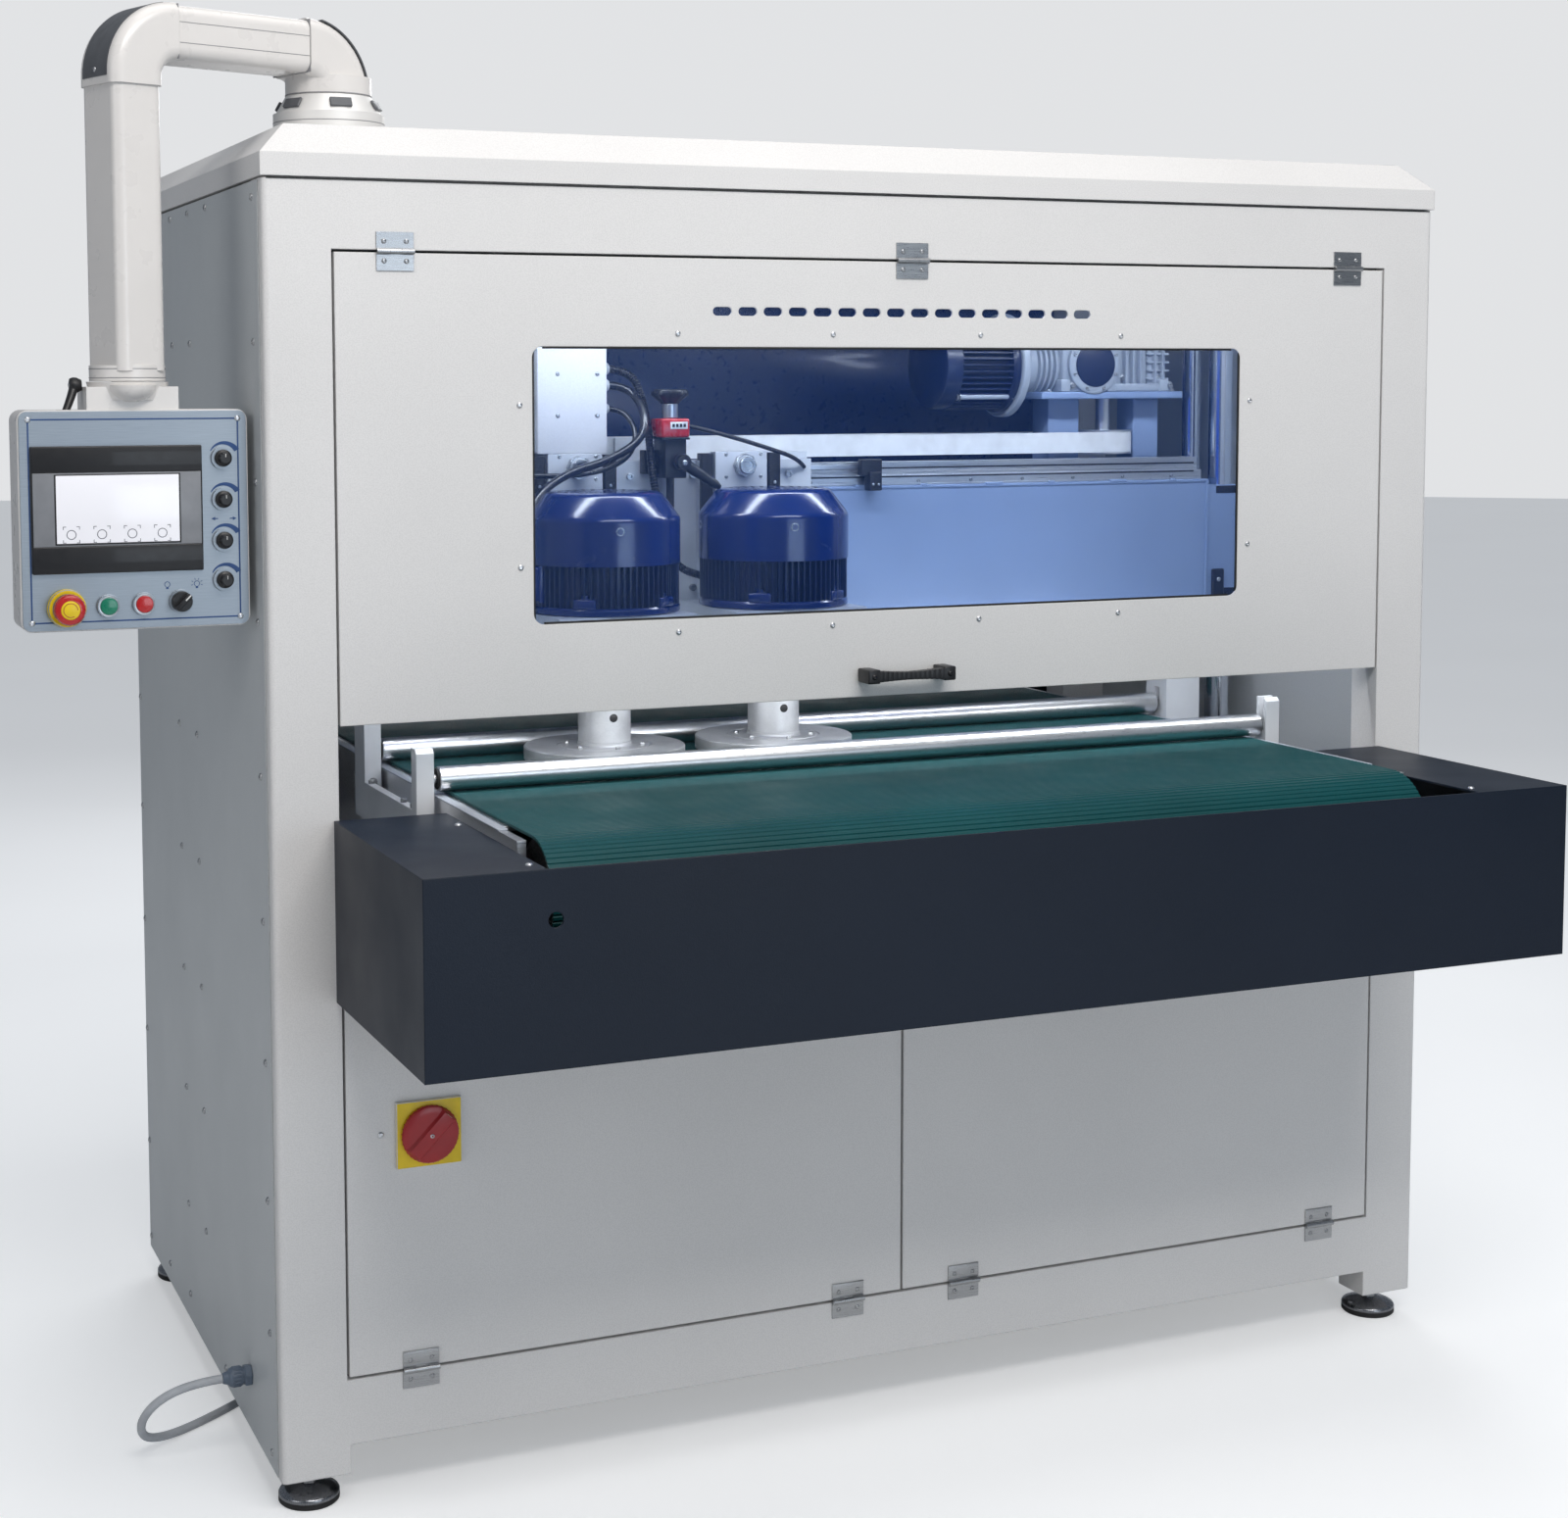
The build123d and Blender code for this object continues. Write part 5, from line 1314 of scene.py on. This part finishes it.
def boom_details():
    """The boom's elbow strips with their screws, and the seams of its tubes."""
    tube, base = Vector((*TUBE, 0)), Vector((*ARM_BASE, 0))
    reach = (tube - base).normalized()
    side = Vector((-reach.y, reach.x, 0))
    left = tube - reach * BEND_R + Z * (BOOM_Z - BEND_R)
    right = base + reach * BEND_R + Z * (BOOM_Z - BEND_R)
    elbow_strip("left_elbow_strip", left, reach, side, 31, 82, 0.6)
    elbow_strip("right_elbow_strip", right, -reach, side, 42, 77, 1.4)
    screw_reach = BEND_R + BOOM_HALF_H + SHELL + 0.2
    bm = bmesh.new()
    add_screw(bm, left + reach * screw_reach + Z * 6, reach, 3.4)
    add_screw(bm, right - reach * screw_reach + Z * 6, -reach, 3.4)
    piece("elbow_screws", bm, "steel", "boom")
    bm = bmesh.new()
    turn = Matrix.Rotation(math.atan2(reach.y, reach.x), 3, "Z")
    for spot in (left + Z * BEND_R, right + Z * BEND_R):
        add_box(bm, spread(spot.x, 0.6), spread(spot.y, BOOM_HALF_W + 0.6),
                spread(spot.z, BOOM_HALF_H + 0.6), 0.3,
                turn, spot)
    half_length = (right - left).length / 2
    for across in (-1, 1):
        centre = (left + right) / 2 + Z * BEND_R + side * across * BOOM_HALF_W
        for dz in (-14, 12):
            add_box(bm, spread(centre.x, half_length), spread(centre.y, 0.25), spread(centre.z + dz, 0.5),
                    0.1, turn, centre)
    piece("boom_seams", bm, "seam", "boom")
    bm = bmesh.new()
    for z in (1500.5, 1512.0):
        add_lathe(bm, [(47, 0), (48.4, 0.4), (48.4, 1.2), (47, 1.6)], (*TUBE, z), Z, 64)
    piece("tube_collar_seams", bm, "seam", "boom")


def swivel_details():
    """Insets and seams of the swivel on the roof, and the boss of the panel's coupling."""
    bm = bmesh.new()
    for angle in range(30, 390, 60):
        spot = Vector((*ARM_BASE, 1868)) + spoke(angle) * 66.6
        add_box(bm, spread(spot.x, 2), spread(spot.y, 15), spread(spot.z, 7), 1.5,
                spin(angle, "Z") @ spin(-30, "Y"), spot)
    piece("swivel_insets", bm, "accent", "cabinet")
    bm = bmesh.new()
    add_lathe(bm, [(56, 0), (58.5, 0.6), (58.5, 1.8), (56, 2.4)], (*ARM_BASE, 1880.3), Z, 72)
    add_lathe(bm, [(72, 0), (75.4, 0.4), (75.4, 1.4), (72, 1.8)], (*ARM_BASE, 1843), Z, 72)
    piece("swivel_seams", bm, "seam", "cabinet")
    bm = bmesh.new()
    dome = [(30 * math.sin(math.radians(a)), 22 - 22 * math.cos(math.radians(a))) for a in range(10, 91, 10)]
    add_lathe(bm, [(0, 0), *dome, (0, 22)], (TUBE[0], 62.4, 1470), Z, 48)
    piece("coupling_boss", bm, "arm", "panel")


def on_panel(dx, dz):
    """A point of the panel's front from its place beside the panel's centre."""
    return PANEL[0] + dx, PANEL[1] + dz


def faceplate_print():
    """Printed faceplate: border line, dial arcs and lamp symbols."""
    print_y, line, half_w, half_h = 54.8, (54.55, 55.2), 132, 128
    bm = bmesh.new()
    for dz in (-half_h, half_h):
        add_box(bm, spread(PANEL[0], half_w), line, spread(PANEL[1] + dz, 1.0), 0.3)
    for dx in (-half_w, half_w):
        add_box(bm, spread(PANEL[0] + dx, 1.0), line, spread(PANEL[1], half_h), 0.3)
    for dx, dz in KNOBS:
        add_arc(bm, on_panel(dx, dz), (17.5, 24.5), (28, 150), 54.7)
    for dx, sign in ((101, -1), (124, 1)):
        x, z = on_panel(dx, -1)
        arrow = ((-4, -0.7), (0, -0.7), (0, -2.4), (5, 0), (0, 2.4), (0, 0.7), (-4, 0.7))
        add_prism(bm, [(x + sign * ahead, print_y, z + up) for ahead, up in arrow], Y, 0.4)
    for dx, lit in ((38, False), (76, True)):
        x, z = on_panel(dx, -84)
        add_arc(bm, (x, z), (3.0, 3.8), (-60, 240), 54.7)
        add_box(bm, spread(x, 1.6), (54.7, 55.2), (z - 6, z - 3.2), 0.3)
        if lit:
            for angle in range(0, 211, 42):
                add_box(bm, (x + 5.2, x + 7.6), (54.7, 55.2), spread(z, 0.35), 0.1, spin(15 - angle, "Y"),
                        (x, PANEL_Y, z))
    piece("faceplate_print", bm, "ink", "panel")
    corners = [(PANEL[0] + dx, PANEL_Y, PANEL[1] + dz) for dx in (-half_w, half_w) for dz in (-half_h,
                                                                                              half_h)]
    fasteners("faceplate_screws", corners, -Y, 3.8, "panel", "chrome")


def add_arc(bm, centre, radii, angles, y):
    """A printed ring segment between two angles; a wide one narrows towards the second."""
    steps, thickness = 18, 0.5
    inner, width = radii[0], radii[1] - radii[0]
    rings = []
    for step in range(steps + 1):
        share = step / steps
        out = spoke(angles[1] + (angles[0] - angles[1]) * share, X, Z)
        outer = inner + width * (0.15 + 0.85 * share if width > 2 else 1)
        rings.append([bm.verts.new(Vector((centre[0], depth, centre[1])) + out * r)
                      for r, depth in ((inner, y), (inner, y + thickness), (outer, y + thickness),
                                       (outer, y))])
    add_loft(bm, rings)


def touch_screen():
    """Operator terminal: glossy dark bands, grey sides, a lit display and plain key outlines."""
    cx, cz = on_panel(*SCREEN)
    bm = bmesh.new()
    add_box(bm, spread(cx, 107.5), (49.5, PANEL_Y), spread(cz, 80.5), 2.0)
    for band in ((cz + 47, cz + 80), (cz - 80, cz - 46)):
        add_box(bm, spread(cx, 107), (48.2, 51), band, 1.2)
    piece("screen_housing", bm, "screen_frame", "panel", ("touch_screen",))
    for name, material, half_w, depth, low, high, bevel in (
            ("screen_side_strips", "screen_side", 105.5, (48.9, 51), -46, 47, 0.6),
            ("screen_surround", "screen_frame", 79, (48.4, 49.2), -44, 45, 0.3),
            ("screen_display", "display", 77, (48.15, 49.0), -42, 43.5, 0.2)):
        bm = bmesh.new()
        add_box(bm, spread(cx, half_w), depth, (cz + low, cz + high), bevel)
        piece(name, bm, material, "panel")
    bm = bmesh.new()
    outside, inside, corner, depth = 10.5, 9.7, 6.5, (48.02, 48.4)
    for index in range(4):
        x, z = cx - 59 + index * 38, cz - 31
        for sx in (-1, 1):
            for sz in (-1, 1):
                for across, upright in ((corner, inside), (inside, corner)):
                    add_box(bm, sorted((x + sx * outside, x + sx * across)), depth,
                            sorted((z + sz * outside, z + sz * upright)))
        add_arc(bm, (x, z), (5.2, 6.2), (0, 360), 48.05)
    piece("screen_marks", bm, "display_mark", "panel")


def emergency_stop():
    """Yellow collar and a red mushroom head with its turn arrow."""
    x, z = on_panel(*EMERGENCY_STOP)
    bm = bmesh.new()
    add_lathe(bm, [(8.2, 0), (24.3, 0), (24.3, 7), (23, 10.2), (20, 10.4), (17, 9.2), (8.2, 9.2)],
              (x, PANEL_Y, z), -Y, 64)
    piece("stop_collar", bm, "yellow", "panel")
    bm = bmesh.new()
    add_rod(bm, (x, 48.8, z), -Y, 8, 11.8, 0.5, 32)
    add_lathe(bm, [(8, 17), (12, 17), (14, 19), (18.4, 21.5), (19.5, 24), (19.5, 29.5), (18, 33),
                   (14.5, 34.4), (12.5, 34.6), (12, 34.2), (0, 34.2)], (x, PANEL_Y, z), -Y, 64)
    for angle in range(0, 360, 15):
        add_rod(bm, Vector((x, 31.5, z)) + spoke(angle, X, Z) * 19.1, -Y, 0.9, 5.6, 0.3, 8)
    piece("stop_mushroom", bm, "red", "emergency_stop", ("emergency_stop",))
    bm = bmesh.new()
    add_lathe(bm, [(0, 34), (11.8, 34), (11.8, 34.7), (11.2, 35), (0, 35)], (x, PANEL_Y, z), -Y, 48)
    piece("stop_centre", bm, "yellow", "emergency_stop")
    bm = bmesh.new()
    add_arc(bm, (x, z), (8.4, 9.2), (0, 300), 19.8)
    piece("stop_arrow", bm, "dark_red", "emergency_stop")


def control_bezels():
    """Chromed rings round the push-buttons, the selector and the speed knobs."""
    button = [(11.1, 0), (15, 0), (15, 2), (14, 5), (12.6, 6.2), (11.6, 6.0), (11.1, 5)]
    selector = [(5.2, 0), (15, 0), (15, 3.5), (14, 5.8), (5.2, 6)]
    knob = [(3.2, 0), (15, 0), (15, 1.6), (13.4, 3.6), (12.2, 3.9), (11.6, 3.2), (3.2, 3.2)]
    bm = bmesh.new()
    places = [(START, button), (STOP, button), (SELECTOR, selector)] + [(knob_spot,
                                                                         knob) for knob_spot in KNOBS]
    for spot, profile in places:
        x, z = on_panel(*spot)
        add_lathe(bm, profile, (x, PANEL_Y, z), -Y, 56)
    piece("control_bezels", bm, "chrome", "panel")


def push_buttons():
    """The green start button and the red stop button."""
    for name, spot, material, slot in (("start_button", START, "green", "green_plastic"),
                                       ("stop_button", STOP, "red", "red_plastic")):
        x, z = on_panel(*spot)
        bm = bmesh.new()
        add_lathe(bm, [(0, 0), (10.9, 0), (10.9, 6.4), (10.4, 7.2), (9.4, 7.5), (0, 7.4)],
                  (x, PANEL_Y, z), -Y, 48)
        piece(f"{name}_cap", bm, material, name, (name,))


def light_selector():
    """The selector's turned grip, with a white pointer."""
    x, z = on_panel(*SELECTOR)
    turn, pivot = spin(-45, "Y"), (x, 40, z)
    bm = bmesh.new()
    add_rod(bm, (x, 58, z), -Y, 5, 10, 0.3, 24)
    add_lathe(bm, [(0, 6.4), (13, 6.4), (13.4, 7.4), (13, 12), (12, 13), (0, 13)], (x, PANEL_Y, z), -Y, 48)
    add_box(bm, spread(x, 12.6), (31.4, 43), spread(z, 3.4), 1.0, turn, pivot)
    piece("selector_grip", bm, "black", "light_selector", ("light_selector",))
    bm = bmesh.new()
    add_box(bm, (x + 3, x + 12.2), (31.05, 31.8), spread(z, 0.9), 0.2, turn, pivot)
    piece("selector_pointer", bm, "white", "light_selector")


def speed_knobs():
    """Four small knobs, each with a printed scale and a white pointer."""
    for number, spot in enumerate(KNOBS, start=1):
        body = f"speed_knob_{number}"
        x, z = on_panel(*spot)
        bm = bmesh.new()
        add_rod(bm, (x, 58, z), -Y, 3, 8, 0.3, 20)
        add_lathe(bm, [(0, 4.4), (10.9, 4.4), (11.2, 5.4), (10.6, 8), (7.6, 9.6), (7.2, 20), (6.4, 20.8),
                       (0, 20.8)], (x, PANEL_Y, z), -Y, 48)
        for angle in range(0, 360, 30):
            add_rod(bm, Vector((x, 45, z)) + spoke(angle, X, Z) * 7.2, -Y, 0.7, 10, 0.2, 6)
        piece(f"speed_grip_{number}", bm, "black", body, (body,))
        bm = bmesh.new()
        for angle in range(-140, 141, 20):
            add_box(bm, spread(x, 0.35), (51.1, 51.9), (z + 11.6, z + 13.4), 0.1, spin(angle, "Y"),
                    (x, PANEL_Y, z))
        piece(f"speed_scale_{number}", bm, "white", "panel")
        bm = bmesh.new()
        add_box(bm, spread(x, 0.5), (33.95, 34.6), (z + 1.5, z + 6), 0.2)
        piece(f"speed_pointer_{number}", bm, "white", body)


# ---- the rest of the cabinet's look ----------------------------------------------------------------------
def moving_leaves():
    """Bright leaves and knuckles over the lower doors' hinges, where the doors' own paint ends."""
    for door, places in LOWER_HINGES_X.items():
        bm = bmesh.new()
        for x in places:
            add_box(bm, spread(x, 25), (-2.3, -0.2), (LOWER_HINGE_Z + 4.4, LOWER_HINGE_Z + 25), 0.5)
            add_lathe(bm, [(2.2, -7.8), (4.15, -7.8), (4.15, 7.8), (2.2, 7.8)], (x, -4, LOWER_HINGE_Z), X,
                      28)
        piece(f"{door}_leaves", bm, "stainless", door)


def door_gap_seals():
    """Dark seals in the gaps beside the doors, above the upper one and below the lower ones."""
    bm = bmesh.new()
    depth = (14, 20)
    for x in (-825.2, 824.2):
        for z in ((1050, 1660), (178, 680)):
            add_box(bm, (x - 0.6, x + 1.6), depth, z, 0.4)
    for z in ((1661.8, 1664.6), (173.4, 176.6)):
        add_box(bm, (-822, 822), depth, z, 0.4)
    piece("door_gap_seals", bm, "rubber", "cabinet")


add_camera()
mains_cable()
add_studio()
dress_cad_nodes()
side_screws()
rear_screws()
window_screws()
window_gasket()
hinge_screws()
moving_leaves()
door_gap_seals()
door_handle()
levelling_feet()
cover_screws()
roof_lap_seal()
main_switch()
conveyor_belt()
hold_down_roller("front_roller", ROLLERS_Y[0], "front_axle")
hold_down_roller("rear_roller", ROLLERS_Y[1], "rear_axle")
spindle("left_spindle", SPINDLES_X[0])
spindle("right_spindle", SPINDLES_X[1])
conveyor_details()
cabinet_interior()
beam_details()
timing_belt_teeth()
carriage_details()
head_motors()
junction_box()
position_indicator()
star_knob()
tapered_lever("clamp", (-212, 322, 1374), -Y, spoke(-33, X, Z), 13, 70, "clamp_lever")
head_cables()
traverse_gearbox()
traverse_motor()
column_details()
boom_details()
swivel_details()
faceplate_print()
touch_screen()
emergency_stop()
control_bezels()
push_buttons()
light_selector()
speed_knobs()
tapered_lever("panel_clamp", (-1129.5, 98, 1492), -X, (-0.30, -0.42, -0.86), 10, 46, "panel_lever")

bpy.context.scene.view_settings.view_transform = "Standard"
